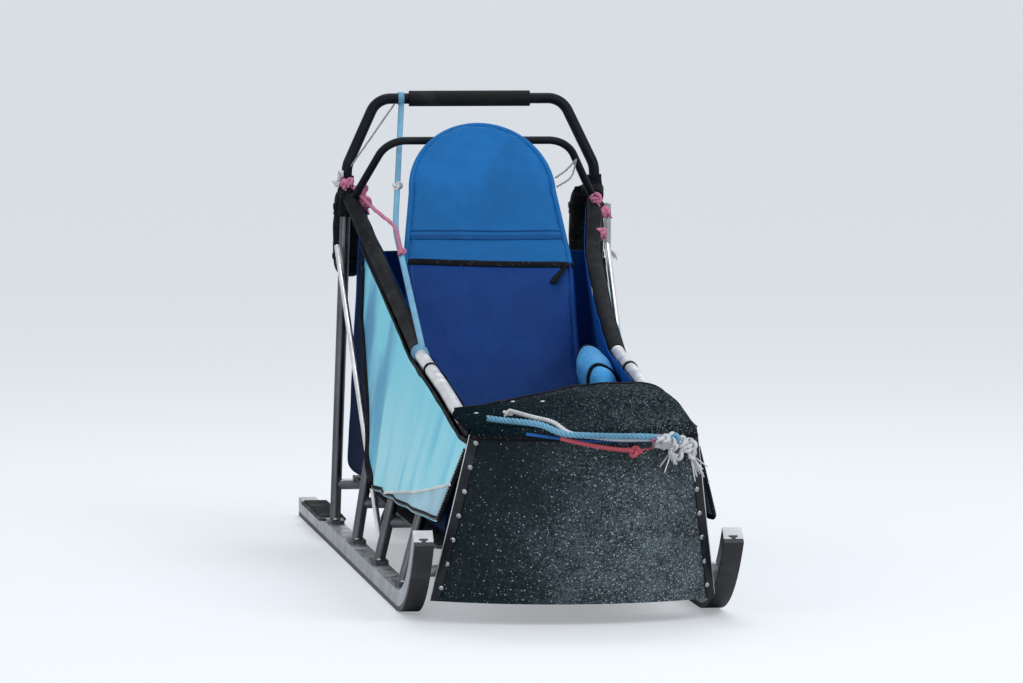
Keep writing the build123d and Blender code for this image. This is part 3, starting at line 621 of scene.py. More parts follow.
def panel_finish(name, colour, deep):
    """Light coated cloth with painted light in paler streaks low down, painted shade in its fold valleys, a painted
    highlight on its fold ridges and deeper colour towards its rear point.
    """
    look = Finish(name, colour, 0.5, Sheen_Weight=0.03, Sheen_Roughness=0.4, Specular_IOR_Level=0.28)
    axes = look.axes(look.coordinates())
    streaks = look.noise(look.coordinates("UV", (1.0, 0.30, 1.0), (0, 0, 0.25)), 6.5, 4.0, 0.52)
    # Paler streaks low down: painted light on the cloth's tension folds.
    pale = look.step(axes["Z"], 0.16, 0.46, 0.85, 0.10)
    pale = look.maths("MULTIPLY", pale, look.step(streaks, 0.34, 0.60))
    tint = look.mix(pale, colour, (0.48, 0.88, 0.95))
    middle = tuple((one + other) / 2 for one, other in zip(colour, deep))
    tint = look.mix(look.step(streaks, 0.48, 0.34, 0.0, 0.40), tint, middle)
    rear = look.step(axes["X"], NOSE_X - 1.10, NOSE_X - 1.42, 0.0, 0.80)
    rear = look.maths("MULTIPLY", rear, look.step(streaks, 0.66, 0.44))
    tint = look.mix(rear, tint, deep)
    # Fold valleys darkened towards the deep colour: painted shade. Fold ridges lightened: painted highlight.
    depth = look.attribute("fold_depth")
    tint = look.mix(look.step(depth, 0.20, 1.00, 0.0, 0.24), tint, deep)
    tint = look.mix(look.step(depth, -0.20, -0.85, 0.0, 0.30), tint, (0.56, 0.88, 0.94))
    weave = look.weave(look.coordinates("UV"), 450)
    tint = look.shade_weave(weave, 0.10, tint, deep)
    crease = look.noise(look.coordinates("UV", (1.0, 0.50, 1.0)), 15.0, 5.0, 0.55)
    return look.finished(Base_Color=tint, Normal=look.cloth_bumps(crease, weave))


def backrest_finish(name, colour, deep):
    """Coated cloth that is brighter above the webbing band and deep blue below it, each part darkened towards the
    bottom as painted shade.
    """
    look = Finish(name, colour, 0.6, Sheen_Weight=0.02, Sheen_Roughness=0.4, Specular_IOR_Level=0.14)
    height = look.axes(look.coordinates())["Z"]
    patches = look.step(look.noise(look.coordinates(scale=(1, 1, 0.6)), 9.0, 6.0, 0.62), 0.3, 0.7)
    upper = look.mix(patches, shade(colour, 0.82), shade(colour, 1.12))
    # Upper part darker towards the band: painted shade.
    upper = look.mix(look.step(height, 0.60, 0.78, 0.40, 0.0), upper, shade(colour, 0.70))
    lower = look.mix(patches, shade(deep, 0.85), shade(deep, 1.2))
    # Lower part darker towards the bag's floor: painted shade inside the bag.
    lower = look.mix(look.step(height, 0.25, 0.58, 0.50, 0.0), lower, shade(deep, 0.72))
    tint = look.mix(look.step(height, 0.588, 0.592), lower, upper)
    flat = look.axes(look.coordinates(turn=(0, -BACKREST_LEAN, 0)))
    surface = look.add("ShaderNodeCombineXYZ", {"X": flat["Y"], "Y": flat["Z"]}).outputs["Vector"]
    weave = look.weave(surface, 450)
    tint = look.shade_weave(weave, 0.24, tint, shade(deep, 0.6))
    crease = look.noise(look.coordinates(scale=(1.0, 1.0, 0.6)), 20.0, 5.0, 0.6)
    return look.finished(Base_Color=tint, Normal=look.cloth_bumps(crease, weave))


def liner_finish(name, colour, painted_wall_light):
    """Deep blue cloth with painted light on the left wall's inner face, and nearly black on the bag's outer face.
    """
    look = Finish(name, colour, 0.7, Specular_IOR_Level=0.03)
    place = look.coordinates()
    patches = look.step(look.noise(place, 8.0, 6.0, 0.62), 0.3, 0.7)
    tint = look.mix(patches, shade(colour, 0.8), shade(colour, 1.2))
    # Painted light: the left wall's inner face is brightened as if lit through the cloth.
    tint = look.mix(look.step(look.axes(place)["Y"], 0.12, 0.17, 0.0, 0.85), tint, painted_wall_light)
    outer = look.attribute("outer_face")
    tint = look.mix(look.step(outer, 0.4, 0.6, 0.0, 0.95), tint, (0.003, 0.007, 0.016))
    weave = look.weave(look.coordinates("UV"), 450)
    tint = look.shade_weave(weave, 0.26, tint, shade(colour, 0.5))
    crease = look.noise(place, 26.0, 5.0, 0.6)
    return look.finished(Base_Color=tint, Normal=look.cloth_bumps(crease, weave))


# Sizes and colours that a user may change


def length(name, description, default, low, high):
    """A length in metres, with its limits."""
    return bpy.props.FloatProperty(
        name=name, description=description, default=default, min=low, max=high, unit="LENGTH"
    )


def hue(name, description, default):
    """A colour."""
    return bpy.props.FloatVectorProperty(
        name=name, description=description, default=default, subtype="COLOR", size=3, min=0, max=1
    )


class SledSizes(bpy.types.PropertyGroup):
    sleeve_start: length(
        "Rail sleeve start", "Distance back where the cloth sleeve takes over the bare rail", 1.05, 0.6, 1.5
    )
    sleeve_radius: length(
        "Rail sleeve radius", "Radius of the cloth sleeve round the side rail", 0.0146, 0.014, 0.022
    )
    cloth_thickness: length("Cloth thickness", "Thickness of the bag's coated cloth", 0.003, 0.001, 0.005)
    fold_height: length("Fold height", "How far the folds of the side panels stand out", 0.007, 0.0, 0.012)
    hood_crown: length("Hood crown", "Height of the hood's crown over its rim", 0.048, 0.02, 0.05)
    webbing_width: length("Webbing width", "Width of the flat webbing on the backrest", 0.014, 0.01, 0.04)
    rope_radius: length("Rope radius", "Radius of the laid ropes at the nose", 0.0062, 0.002, 0.008)
    stitch_pitch: length("Stitch pitch", "Distance from stitch to stitch on the sewn edges", 0.006, 0.003, 0.02)


class SledColours(bpy.types.PropertyGroup):
    panel: hue("Side panels", "Light blue coated cloth", (0.19, 0.72, 0.88))
    # Also the colour of the painted shade in the panels' fold valleys and weave hollows.
    panel_fold: hue("Panel folds", "Deeper blue in the panels' folds", (0.030, 0.200, 0.440))
    backrest: hue("Backrest", "Blue of the backrest above its band", (0.008, 0.150, 0.430))
    liner: hue("Bag liner", "Deep blue inside the bag", (0.003, 0.042, 0.205))
    # Painted light for the left wall's inner face.
    left_wall_painted_light: hue("Left wall", "Brighter blue of the left wall's inner face", (0.016, 0.115, 0.46))
    flap: hue("Rolled cover", "Blue of the rolled cover on the left wall", (0.05, 0.33, 0.70))
    black_cloth: hue("Black cloth", "Sleeves, webbing and pouches", (0.006, 0.007, 0.009))
    shield: hue("Nose shield", "Black plastic under the dried snow", (0.003, 0.011, 0.015))
    bare_metal: hue("Bare tube", "Bright aluminium of rails and braces", (0.86, 0.87, 0.88))
    pink_rope: hue("Pink rope", "Faded pink cord", (0.62, 0.21, 0.34))
    blue_rope: hue("Blue rope", "Light blue cord", (0.19, 0.44, 0.63))


FINISHES = {}


def finish(name):
    """A shared material, made when it is first asked for."""
    if name in FINISHES:
        return FINISHES[name]
    tones = bpy.context.scene.sled_colours
    black = tones.black_cloth
    makers = {
        "panel_cloth": lambda: panel_finish(name, tones.panel, tones.panel_fold),
        "backrest_cloth": lambda: backrest_finish(name, tones.backrest, tones.liner),
        "liner_cloth": lambda: liner_finish(name, tones.liner, tones.left_wall_painted_light),
        "flap_cloth": lambda: cloth_finish(name, tones.flap, 900, "Object", 0.55),
        "black_webbing": lambda: cloth_finish(name, black, 350, "UV", 0.7, 0.0, 0.05, 0.08),
        "sleeve_cloth": lambda: cloth_finish(name, black, 450, "UV", 0.65, 0.0, 0.03, 0.10),
        "pouch_cloth": lambda: cloth_finish(name, black, 350, "Object", 0.68, 0.0, 0.08, 0.10),
        "hem_cloth": lambda: cloth_finish(name, (0.006, 0.090, 0.290), 450, roughness=0.65, gloss=0.12),
        "net_cloth": lambda: cloth_finish(name, (0.40, 0.66, 0.78), 260, roughness=0.7),
        "white_piping": lambda: cloth_finish(name, (0.80, 0.82, 0.83), 700, roughness=0.55),
        "pink_rope": lambda: cloth_finish(name, tones.pink_rope, 900, roughness=0.75),
        "red_rope": lambda: cloth_finish(name, (0.62, 0.12, 0.16), 900, roughness=0.75),
        "blue_rope": lambda: cloth_finish(name, tones.blue_rope, 1500, roughness=0.75),
        # Dark cord that stands in for the shaded underside of the blue rope.
        "deep_blue_rope": lambda: cloth_finish(name, (0.02, 0.14, 0.45), 1500, roughness=0.75),
        "white_rope": lambda: cloth_finish(name, (0.74, 0.75, 0.76), 1500, roughness=0.8),
        "grey_cord": lambda: cloth_finish(name, (0.34, 0.36, 0.37), 1500, roughness=0.7),
        "blue_thread": lambda: cloth_finish(name, (0.05, 0.22, 0.50), 1500, "Object"),
        "shield_plastic": lambda: speckled_finish(
            name, tones.shield, ((300.0, 0.20, 0.45), (150.0, 0.13, 0.70)), 0.9, 0.42
        ),
        "hood_cloth": lambda: speckled_finish(
            name, shade(tones.shield, 0.8), ((260.0, 0.18, 0.45),), 0.9, 0.10, 0.75, 0.005, 0.0
        ),
        "bare_rail": lambda: metal_finish(name, tones.bare_metal, 0.42),
        "edge_strip": lambda: metal_finish(name, tones.bare_metal, 0.40),
        "post_tube": lambda: metal_finish(name, (0.15, 0.155, 0.165), 0.36),
        "frame_tube": lambda: metal_finish(name, (0.48, 0.50, 0.53), 0.38),
        "runner_alloy": lambda: metal_finish(name, (0.60, 0.62, 0.64), 0.36, (0.1, 1, 1)),
        "steel": lambda: metal_finish(name, (0.50, 0.51, 0.52), 0.32),
        "shield_strip": lambda: rubber_finish(name, (0.010, 0.014, 0.017), 0.5, 0.10),
        "black_tube": lambda: rubber_finish(name, (0.005, 0.008, 0.012), 0.45, 0.04, 0.12),
        "shoe_plastic": lambda: rubber_finish(name, (0.035, 0.035, 0.04), 0.45, 0.15),
        "bed_plastic": lambda: rubber_finish(name, (0.02, 0.02, 0.022), 0.55, 0.25),
        "rubber": lambda: rubber_finish(name),
        "grip_rubber": lambda: rubber_finish(name, (0.008, 0.009, 0.011), 0.7, 0.10, 0.15),
    }
    FINISHES[name] = makers[name]()
    return FINISHES[name]


# The frame's nodes by the start of their names. A later row goes over an earlier one.
FRAME_FINISHES = (
    ("runner_", "runner_alloy"),
    ("runner_shoe_", "shoe_plastic"),
    ("foot_pad_", "rubber"),
    ("stanchion_", "post_tube"),
    ("side_rail_", "bare_rail"),
    ("crossbar_", "frame_tube"),
    ("brace_", "edge_strip"),
    ("brush_bow", "black_tube"),
    ("nose_bar", "frame_tube"),
    ("nose_strut_", "frame_tube"),
    ("nose_shield", "shield_plastic"),
    ("shield_strip_", "shield_strip"),
    ("bed", "bed_plastic"),
    ("backrest_hoop", "black_tube"),
    ("handlebar", "black_tube"),
    ("handlebar_grip", "grip_rubber"),
    ("hinge_", "steel"),
    ("brake_", "steel"),
    ("drag_mat", "rubber"),
    ("tow_ring", "steel"),
    ("snow_hook_", "steel"),
)


# Geometry Nodes for what repeats


def stretched(nodes, mesh, x, y, z):
    """A unit mesh stretched to its sizes."""
    size = nodes.add("ShaderNodeCombineXYZ", {"X": x, "Y": y, "Z": z}).outputs["Vector"]
    inputs = {"Geometry": mesh.outputs["Mesh"], "Scale": size}
    return nodes.add("GeometryNodeTransform", inputs).outputs["Geometry"]


def rivet_shape(nodes, source):
    """A low domed head: a flattened ball, half sunk in what it holds."""
    ball = nodes.add("GeometryNodeMeshUVSphere", {"Segments": 12, "Rings": 8, "Radius": 1.0})
    return stretched(nodes, ball, source["Radius"], source["Radius"], source["Height"])


def bolt_shape(nodes, source):
    """A hexagon head with a low washer under it."""
    join = nodes.add("GeometryNodeJoinGeometry")
    for sides, width, share in ((6, 1.0, 1.0), (14, 1.45, 0.3)):
        head = nodes.add("GeometryNodeMeshCylinder", {"Vertices": sides, "Radius": width, "Depth": 2 * share})
        part = stretched(nodes, head, source["Radius"], source["Radius"], source["Height"])
        nodes.put(join.inputs["Geometry"], part)
    return join.outputs["Geometry"]


def stitch_shape(nodes, source):
    """One stitch: a short thread that lies along the seam and dips at both ends."""
    thread = nodes.add("GeometryNodeMeshUVSphere", {"Segments": 6, "Rings": 4, "Radius": 1.0})
    half = nodes.maths("MULTIPLY", source["Pitch"], 0.36)
    return stretched(nodes, thread, half, source["Radius"], source["Height"])


TREES = {}
SHAPES = {"rivets": rivet_shape, "bolts": bolt_shape, "stitches": stitch_shape}


def row_tree(kind):
    """A tree that sets one shape at each point, stood on the point's own direction."""
    tree = bpy.data.node_groups.new(kind, "GeometryNodeTree")
    for name, way, socket in (
        ("Geometry", "INPUT", "Geometry"),
        ("Pitch", "INPUT", "Float"),
        ("Radius", "INPUT", "Float"),
        ("Height", "INPUT", "Float"),
        ("Finish", "INPUT", "Material"),
        ("Geometry", "OUTPUT", "Geometry"),
    ):
        tree.interface.new_socket(name, in_out=way, socket_type="NodeSocket" + socket)
    nodes = Nodes(tree)
    source = nodes.add("NodeGroupInput").outputs
    axes = {}
    for name, axis in (("facing", "Primary Axis"), ("along", "Secondary Axis")):
        read = nodes.add("GeometryNodeInputNamedAttribute", {"Name": name}, data_type="FLOAT_VECTOR")
        axes[axis] = read.outputs["Attribute"]
    turn = nodes.add("FunctionNodeAxesToRotation", axes, primary_axis="Z", secondary_axis="X").outputs["Rotation"]
    inputs = {"Points": source["Geometry"], "Instance": SHAPES[kind](nodes, source), "Rotation": turn}
    place = nodes.add("GeometryNodeInstanceOnPoints", inputs).outputs["Instances"]
    real = nodes.add("GeometryNodeRealizeInstances", {"Geometry": place}).outputs["Geometry"]
    paint = nodes.add("GeometryNodeSetMaterial", {"Geometry": real, "Material": source["Finish"]})
    nodes.add("NodeGroupOutput", {"Geometry": paint.outputs["Geometry"]})
    return tree


def set_row(name, kind, spots, pitch, radius, height, finish_name):
    """Sets rivets, bolts or stitches at spots, each a place, the way it faces and the way it runs."""
    if kind not in TREES:
        TREES[kind] = row_tree(kind)
    mesh = bpy.data.meshes.new(name)
    mesh.from_pydata([tuple(spot[0]) for spot in spots], [], [])
    for number, label in ((1, "facing"), (2, "along")):
        layer = mesh.attributes.new(label, "FLOAT_VECTOR", "POINT")
        for entry, spot in zip(layer.data, spots):
            entry.vector = spot[number]
    piece = linked(name + "_row", mesh)
    modifier = piece.modifiers.new(kind, "NODES")
    modifier.node_group = TREES[kind]
    material = finish(finish_name)
    values = {"Pitch": pitch, "Radius": radius, "Height": height, "Finish": material}
    for item in TREES[kind].interface.items_tree:
        if item.in_out == "INPUT" and item.name in values:
            modifier[item.identifier] = values[item.name]
    made = evaluated_mesh(piece)
    bpy.data.objects.remove(piece)
    return finish_piece(made, name, material)


def seam_spots(line, pitch, facing, shift=0.0):
    """Spots an even pitch apart along a line, which face one way and are shifted along it."""
    points = even_path(line, pitch)
    return [
        ((point + after) / 2 + facing * shift, facing, (after - point).normalized())
        for point, after in zip(points, points[1:])
    ]


# The pieces


class SLED_OT_stage(bpy.types.Operator):
    """Sets up the camera, the pale floor and the soft studio light"""

    bl_idname = "sled.stage"
    bl_label = "Stage"

    def execute(self, context):
        scene = context.scene
        scene.view_settings.view_transform = "Standard"
        lens = bpy.data.cameras.new("photo_view")
        lens.lens = 250
        lens.sensor_width = 36
        lens.clip_end = 1000
        scene.camera = aimed(linked("photo_view", lens), (13.904, -1.661, 1.34), (0.06, 0.0, 0.455))

        floor, reach = Shape(), 400.0
        lines = spread(-reach, reach, 40)
        floor.grid([[Vector((x, y, 0)) for x in lines] for y in lines])
        look = Finish(
            "pale_floor", (0.56, 0.58, 0.60), 0.9, Specular_IOR_Level=0.1, Emission_Color=(0.93, 0.965, 1.0, 1.0)
        )
        seen = look.add("ShaderNodeLightPath").outputs["Is Camera Ray"]
        material = look.finished(Emission_Strength=look.maths("MULTIPLY", seen, 0.34))
        finish_piece(floor.mesh("floor"), "floor", material, None)

        scene.world = bpy.data.worlds.new("studio")
        scene.world.use_nodes = True
        sky = Nodes(scene.world.node_tree)
        rays = sky.add("ShaderNodeLightPath").outputs
        seen = sky.maths("MAXIMUM", rays["Is Camera Ray"], rays["Is Glossy Ray"])
        seen = sky.maths("MAXIMUM", seen, rays["Is Transmission Ray"])
        strength = sky.add("ShaderNodeMapRange", {"Value": seen, "To Min": 0.74, "To Max": 0.85})
        background = sky.tree.nodes["Background"].inputs
        sky.put(background["Color"], sky.mix(seen, (0.86, 0.90, 0.95), (0.88, 0.91, 0.95)))
        sky.put(background["Strength"], strength.outputs["Result"])

        for name, place, size, power in (
            ("key_light", (5.0, 3.2, 4.6), 3.2, 150.0),
            ("fill_light", (4.5, -4.5, 2.6), 3.5, 55.0),
            ("top_light", (-1.5, 0.5, 5.0), 3.5, 70.0),
        ):
            lamp = bpy.data.lights.new(name, "AREA")
            lamp.shape = "DISK"
            lamp.size = size
            lamp.energy = power
            aimed(linked(name, lamp), place, (0, 0, 0.4))
        return {"FINISHED"}


class SLED_OT_frame_finishes(bpy.types.Operator):
    """Gives the frame's own tubes, runners and plates their finishes"""

    bl_idname = "sled.frame_finishes"
    bl_label = "Frame finishes"

    def execute(self, context):
        for start, name in FRAME_FINISHES:
            for node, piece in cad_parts.items():
                if node.startswith(start):
                    piece.data.materials.clear()
                    piece.data.materials.append(finish(name))
        return {"FINISHED"}


class SLED_OT_liner(bpy.types.Operator):
    """Makes the bag's one-piece liner: walls, floor and both ends"""

    bl_idname = "sled.liner"
    bl_label = "Bag liner"

    def execute(self, context):
        wall_steps, corner_steps, floor_steps = 14, 5, 14
        corner = 0.030
        floor_z = BED_TOP + 0.006

        def section(back):
            """The liner's line across the bag, from its left edge down and up to its right edge."""
            top = at_back(RAIL_BENDS, back)[1] + 0.005
            left = [(side_y(back, z, WALL_OFFSET), z) for z in spread(top, floor_z + corner, wall_steps)[:-1]]
            edge = side_y(back, floor_z + corner, WALL_OFFSET)
            for angle in spread(0, pi / 2, corner_steps):
                left.append((edge - corner * (1 - cos(angle)), floor_z + corner * (1 - sin(angle))))
            left += [(y, floor_z) for y in spread(edge - corner, 0, floor_steps)[1:]]
            whole = left + [(-y, z) for y, z in reversed(left[:-1])]
            return [Vector((NOSE_X - back, y, z)) for y, z in whole]

        backs = spread(BAG_FRONT_BACK, BAG_REAR_BACK, 76)
        rows = [section(back) for back in backs]
        lengths = [0.0]
        for before, after in zip(rows[0], rows[0][1:]):
            lengths.append(lengths[-1] + (after - before).length)
        shape = Shape()
        shape.grid(rows, [[(along, back) for along in lengths] for back in backs])

        for row, side, crown in ((rows[0], 0.365, 0.392), (rows[-1], 0.600, 0.604)):
            bottom = row[wall_steps:-wall_steps]
            grid = [bottom]
            for step in range(1, wall_steps + 1):
                end = row[wall_steps - step]
                height = min(end.z, side)
                share = step / wall_steps
                line = []
                for point in bottom:
                    across = point.y / bottom[0].y
                    lift = (crown - side) * (1 - across * across) * share
                    dip = (point.z - bottom[0].z) * (1 - share)
                    line.append(Vector((point.x, end.y * across, height + lift + dip)))
                grid.append(line)
            shape.grid(grid, [[(point.y, point.z) for point in line] for line in grid])

        piece = shape.build("bag_liner", "liner_cloth", "inner_cloth")
        for vertex in piece.data.vertices:
            spot = vertex.co
            free = blend_share(floor_z, floor_z + 0.05, spot.z)
            lift = 0.004 * ripple(spot, 0.11, 3.0) + 0.002 * ripple(spot, 0.035, 8.0)
            if abs(spot.y) > 0.15:
                inward = -1 if spot.y > 0 else 1
                move = Vector((0, inward * abs(lift) * free, 0))
            else:
                move = Vector((lift * free * 0.5, 0, lift * 0.4 * (1 - free)))
            vertex.co = spot + move
        thicken(piece, context.scene.sled_sizes.cloth_thickness)
        apply_modifiers(piece)
        layer = piece.data.attributes.new("outer_face", "FLOAT", "POINT")
        for vertex, entry in zip(piece.data.vertices, layer.data):
            spot = vertex.co
            out = ACROSS if spot.y > 0 else -ACROSS
            if spot.x > NOSE_X - BAG_FRONT_BACK - 0.012:
                out = AHEAD
            elif spot.x < NOSE_X - BAG_REAR_BACK + 0.012:
                out = -AHEAD
            elif spot.z < floor_z + 0.004 and abs(spot.y) < 0.21:
                out = -UP
            entry.value = 1.0 if vertex.normal.dot(out) > 0.1 else 0.0
        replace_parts(piece, "bag_wall_left", "bag_wall_right", "bag_floor", "bag_front", "bag_rear")
        return {"FINISHED"}


# The side panels' folds: distance back, width, size and lean
FOLDS = (
    (0.42, 0.085, 0.45, 0.05),
    (0.60, 0.050, -0.45, 0.02),
    (0.74, 0.085, 0.60, 0.00),
    (0.89, 0.042, -0.60, -0.03),
    (1.02, 0.070, 0.70, -0.06),
    (1.13, 0.032, -0.75, -0.09),
    (1.24, 0.055, 0.90, -0.13),
    (1.37, 0.034, -1.00, -0.20),
    (1.49, 0.048, 0.65, -0.24),
)


def hem_height(back):
    return at_back(PANEL_HEM, back)[0]


def panel_fold(back, height):
    """How far the hung side panel stands out at a place, from -1 in a valley to 1 on a ridge."""
    rail_z = at_back(RAIL_BENDS, back)[1]
    drop = min(max((rail_z - height) / max(rail_z - hem_height(back), 0.05), 0), 1)
    folds = 0.0
    for middle, width, size, lean in FOLDS:
        wander = 0.012 * ripple((height, middle, 0.0), 0.09, 3.0)
        shift = (back - middle - wander - lean * drop) / width
        folds += size * exp(-shift * shift) * (0.30 + 0.70 * drop)
    return folds + 0.30 * ripple((back, height * 0.55, 0.0), 0.11, 2.0)


def panel_spot(sign, back, height, out=0.0):
    """A point on a side panel, moved out by some metres."""
    fold = max(panel_fold(back, height) * bpy.context.scene.sled_sizes.fold_height, -0.0022)
    return Vector((NOSE_X - back, sign * side_y(back, height, SKIN_OFFSET + fold + out), height))


def hang(sign, columns, count, out=0.0):
    """A sheet on a side panel's surface. Each column has a distance back, an upper and a lower height."""
    places = [[(back, z) for z in spread(top, low, count)] for back, top, low in columns]
    shape = Shape()
    shape.grid([[panel_spot(sign, back, z, out) for back, z in pairs] for pairs in places], places)
    return shape


class SLED_OT_side_panels(bpy.types.Operator):
    """Hangs the light blue side panels with their binding, piping and net strips"""

    bl_idname = "sled.side_panels"
    bl_label = "Side panels"

    def execute(self, context):
        sizes = context.scene.sled_sizes
        for side, sign in SIDES:
            columns = []
            for back in spread(PANEL_FRONT_BACK, PANEL_REAR_BACK, 118):
                top = at_back(RAIL_BENDS, back)[1] - BAND_BELOW_RAIL + 0.004
                columns.append((back, top, min(hem_height(back), top - 0.012)))
            panel = hang(sign, columns, 26).build("side_cloth_" + side, "panel_cloth", "panel_cloth")
            # Fold depth, read by the panel's finish for painted shade in the valleys and a painted highlight on the
            # ridges.
            layer = panel.data.attributes.new("fold_depth", "FLOAT", "POINT")
            for vertex, entry in zip(panel.data.vertices, layer.data):
                entry.value = -panel_fold(NOSE_X - vertex.co.x, vertex.co.z)
            thicken(panel, sizes.cloth_thickness)
            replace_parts(panel, "side_panel_" + side)

            out = ACROSS * sign
            hem, rear, end = [], [], PANEL_REAR_BACK - 0.002
            for back in spread(PANEL_FRONT_BACK, end, 159):
                spot = panel_spot(sign, back, hem_height(back) + 0.005)
                if back < 1.19:
                    hem.append(spot)
                if back > 1.175:
                    rear.append(spot)
            rear += [panel_spot(sign, end, 0.5800), panel_spot(sign, end, 0.5940)]
            binding = Shape()
            binding.tube(even_path(hem, 0.008), 0.0030, 8, height=0.0065)
            thick = even_path(rear, 0.008)
            widths = [0.0085 - 0.0035 * n / len(thick) for n in range(len(thick))]
            binding.tube([point + out * 0.002 for point in thick], widths, 10)
            edge = binding.build("panel_binding_" + side, "black_webbing", "band_cloth")

            front_back, rear_back = PIPING[0][0], PIPING[-1][0]
            line = [panel_spot(sign, back, at_back(PIPING, back)[0], 0.003)
                    for back in spread(front_back, rear_back, 79)]
            piping = Shape()
            piping.tube(smooth_path(even_path(line, 0.05), 0.006), 0.0032, 8)
            cord = piping.build("panel_piping_" + side, "white_piping", "panel_cloth")

            columns = []
            for back in spread(front_back + 0.008, rear_back - 0.022, 70):
                low = hem_height(back) + 0.010
                columns.append((back, low, max(at_back(PIPING, back)[0] - 0.002, low + 0.001)))
            strip = hang(sign, columns, 8, 0.0030).build("panel_net_" + side, "net_cloth", "panel_cloth")
            thicken(strip, 0.0012)

            spots = seam_spots(hem, sizes.stitch_pitch, out, 0.0036)
            set_row("panel_stitches_" + side, "stitches", spots, sizes.stitch_pitch, 0.0006, 0.0005,
                    "white_piping")
        return {"FINISHED"}


class SLED_OT_rail_sleeves(bpy.types.Operator):
    """Wraps the black sleeves, the panels' top tapes, the joints and the ties on the side rails"""

    bl_idname = "sled.rail_sleeves"
    bl_label = "Rail sleeves"

    def execute(self, context):
        sizes = context.scene.sled_sizes
        for side, sign in SIDES:
            line = rail_line(sign, 0.010, sizes.sleeve_start, 1.868)
            rows, places, length = [], [], 0.0
            for index, (up, across) in enumerate(cross_frames(line, up=UP)):
                point = line[index]
                mean = sizes.sleeve_radius * (1 + 0.05 * ripple(point, 0.03, 5.0))
                if index:
                    length += (point - line[index - 1]).length
                row, pairs = [], []
                for number, (c, s) in enumerate(around(22)):
                    angle = 2 * pi * number / 22
                    radius = mean * (1 + 0.035 * ripple((length, angle * 0.1, 0), 0.02, sign))
                    row.append(point + (up * c + across * s) * radius)
                    pairs.append((radius * angle, length))
                rows.append(row)
                places.append(pairs)
            shape = Shape()
            shape.grid(rows, places, closed=True)
            sleeve = shape.build("rail_sleeve_" + side, "sleeve_cloth", "band_cloth")
            thicken(sleeve, 0.0014)
            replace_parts(sleeve, "rail_band_" + side)

            line = []
            for back in spread(PANEL_FRONT_BACK, 1.70, 149):
                height = at_back(RAIL_BENDS, back)[1] - 0.011
                line.append(Vector((NOSE_X - back, sign * side_y(back, height, 0.0165), height)))
            line = even_path(line, 0.010)
            halves = [0.0040 + 0.0035 * blend_share(0.02, 0.0, NOSE_X - point.x - sizes.sleeve_start)
                      for point in line]
            tape = Shape()
            tape.tube(line, 0.0022, 8, height=halves)
            band = tape.build("panel_top_tape_" + side, "black_webbing", "band_cloth")
            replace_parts(band, "rail_band_" + side)

            back, y, z = RAIL_BENDS[-1]
            joint = Vector((NOSE_X - back, sign * y, z))
            foot = Vector((NOSE_X - REAR_FOOT_BACK, sign * RUNNER_Y, RUNNER_TOP))
            axis = (joint - foot).normalized()
            post = [joint + axis * reach for reach in spread(0.030, -0.055, 17)]
            wrap = Shape()
            wrap.tube(post, [0.0150 * (1 + 0.06 * ripple(point, 0.012, 4.0)) for point in post], 20)
            end = rail_line(sign, 0.004, 1.845, 1.90)
            wrap.tube(end, [0.0185 * (1 + 0.04 * ripple(point, 0.01, 2.0)) for point in end], 20)
            wrap.build("joint_wrap_" + side, "black_webbing", "band_cloth")

            ties = Shape()
            for start, end in ((0.0, 0.300), (0.850, 0.870)):
                ties.tube(rail_line(sign, 0.004, start, end), 0.0146, 20)
            ties.build("rail_ties_" + side, "black_webbing", "band_cloth")
        return {"FINISHED"}


def backrest_half_width(t):
    """Half width of the backrest at a distance up its own plane."""
    if t <= BACKREST_TAPER:
        return BACKREST_HALF_WIDTH
    if t <= BACKREST_SPRING:
        share = (t - BACKREST_TAPER) / (BACKREST_SPRING - BACKREST_TAPER)
        return BACKREST_HALF_WIDTH + share * (BACKREST_SPRING_HALF_WIDTH - BACKREST_HALF_WIDTH)
    share = min((t - BACKREST_SPRING) / BACKREST_ARCH_RISE, 1)
    return BACKREST_SPRING_HALF_WIDTH * sqrt(max(1 - share * share, 0))


def backrest_spot(across, t, out=0.0):
    """A point on the backrest: across its width, up its plane and out from its middle, forwards."""
    return BACKREST_FOOT + Vector((0, across, 0)) + BACKREST_UP * t + BACKREST_AHEAD * out


def backrest_line(half, t, drop, count, out):
    """Points across the backrest at a distance up it, which drop towards the sled's left."""
    return [backrest_spot(y, t - drop * n / count, out) for n, y in enumerate(spread(-half, half, count))]


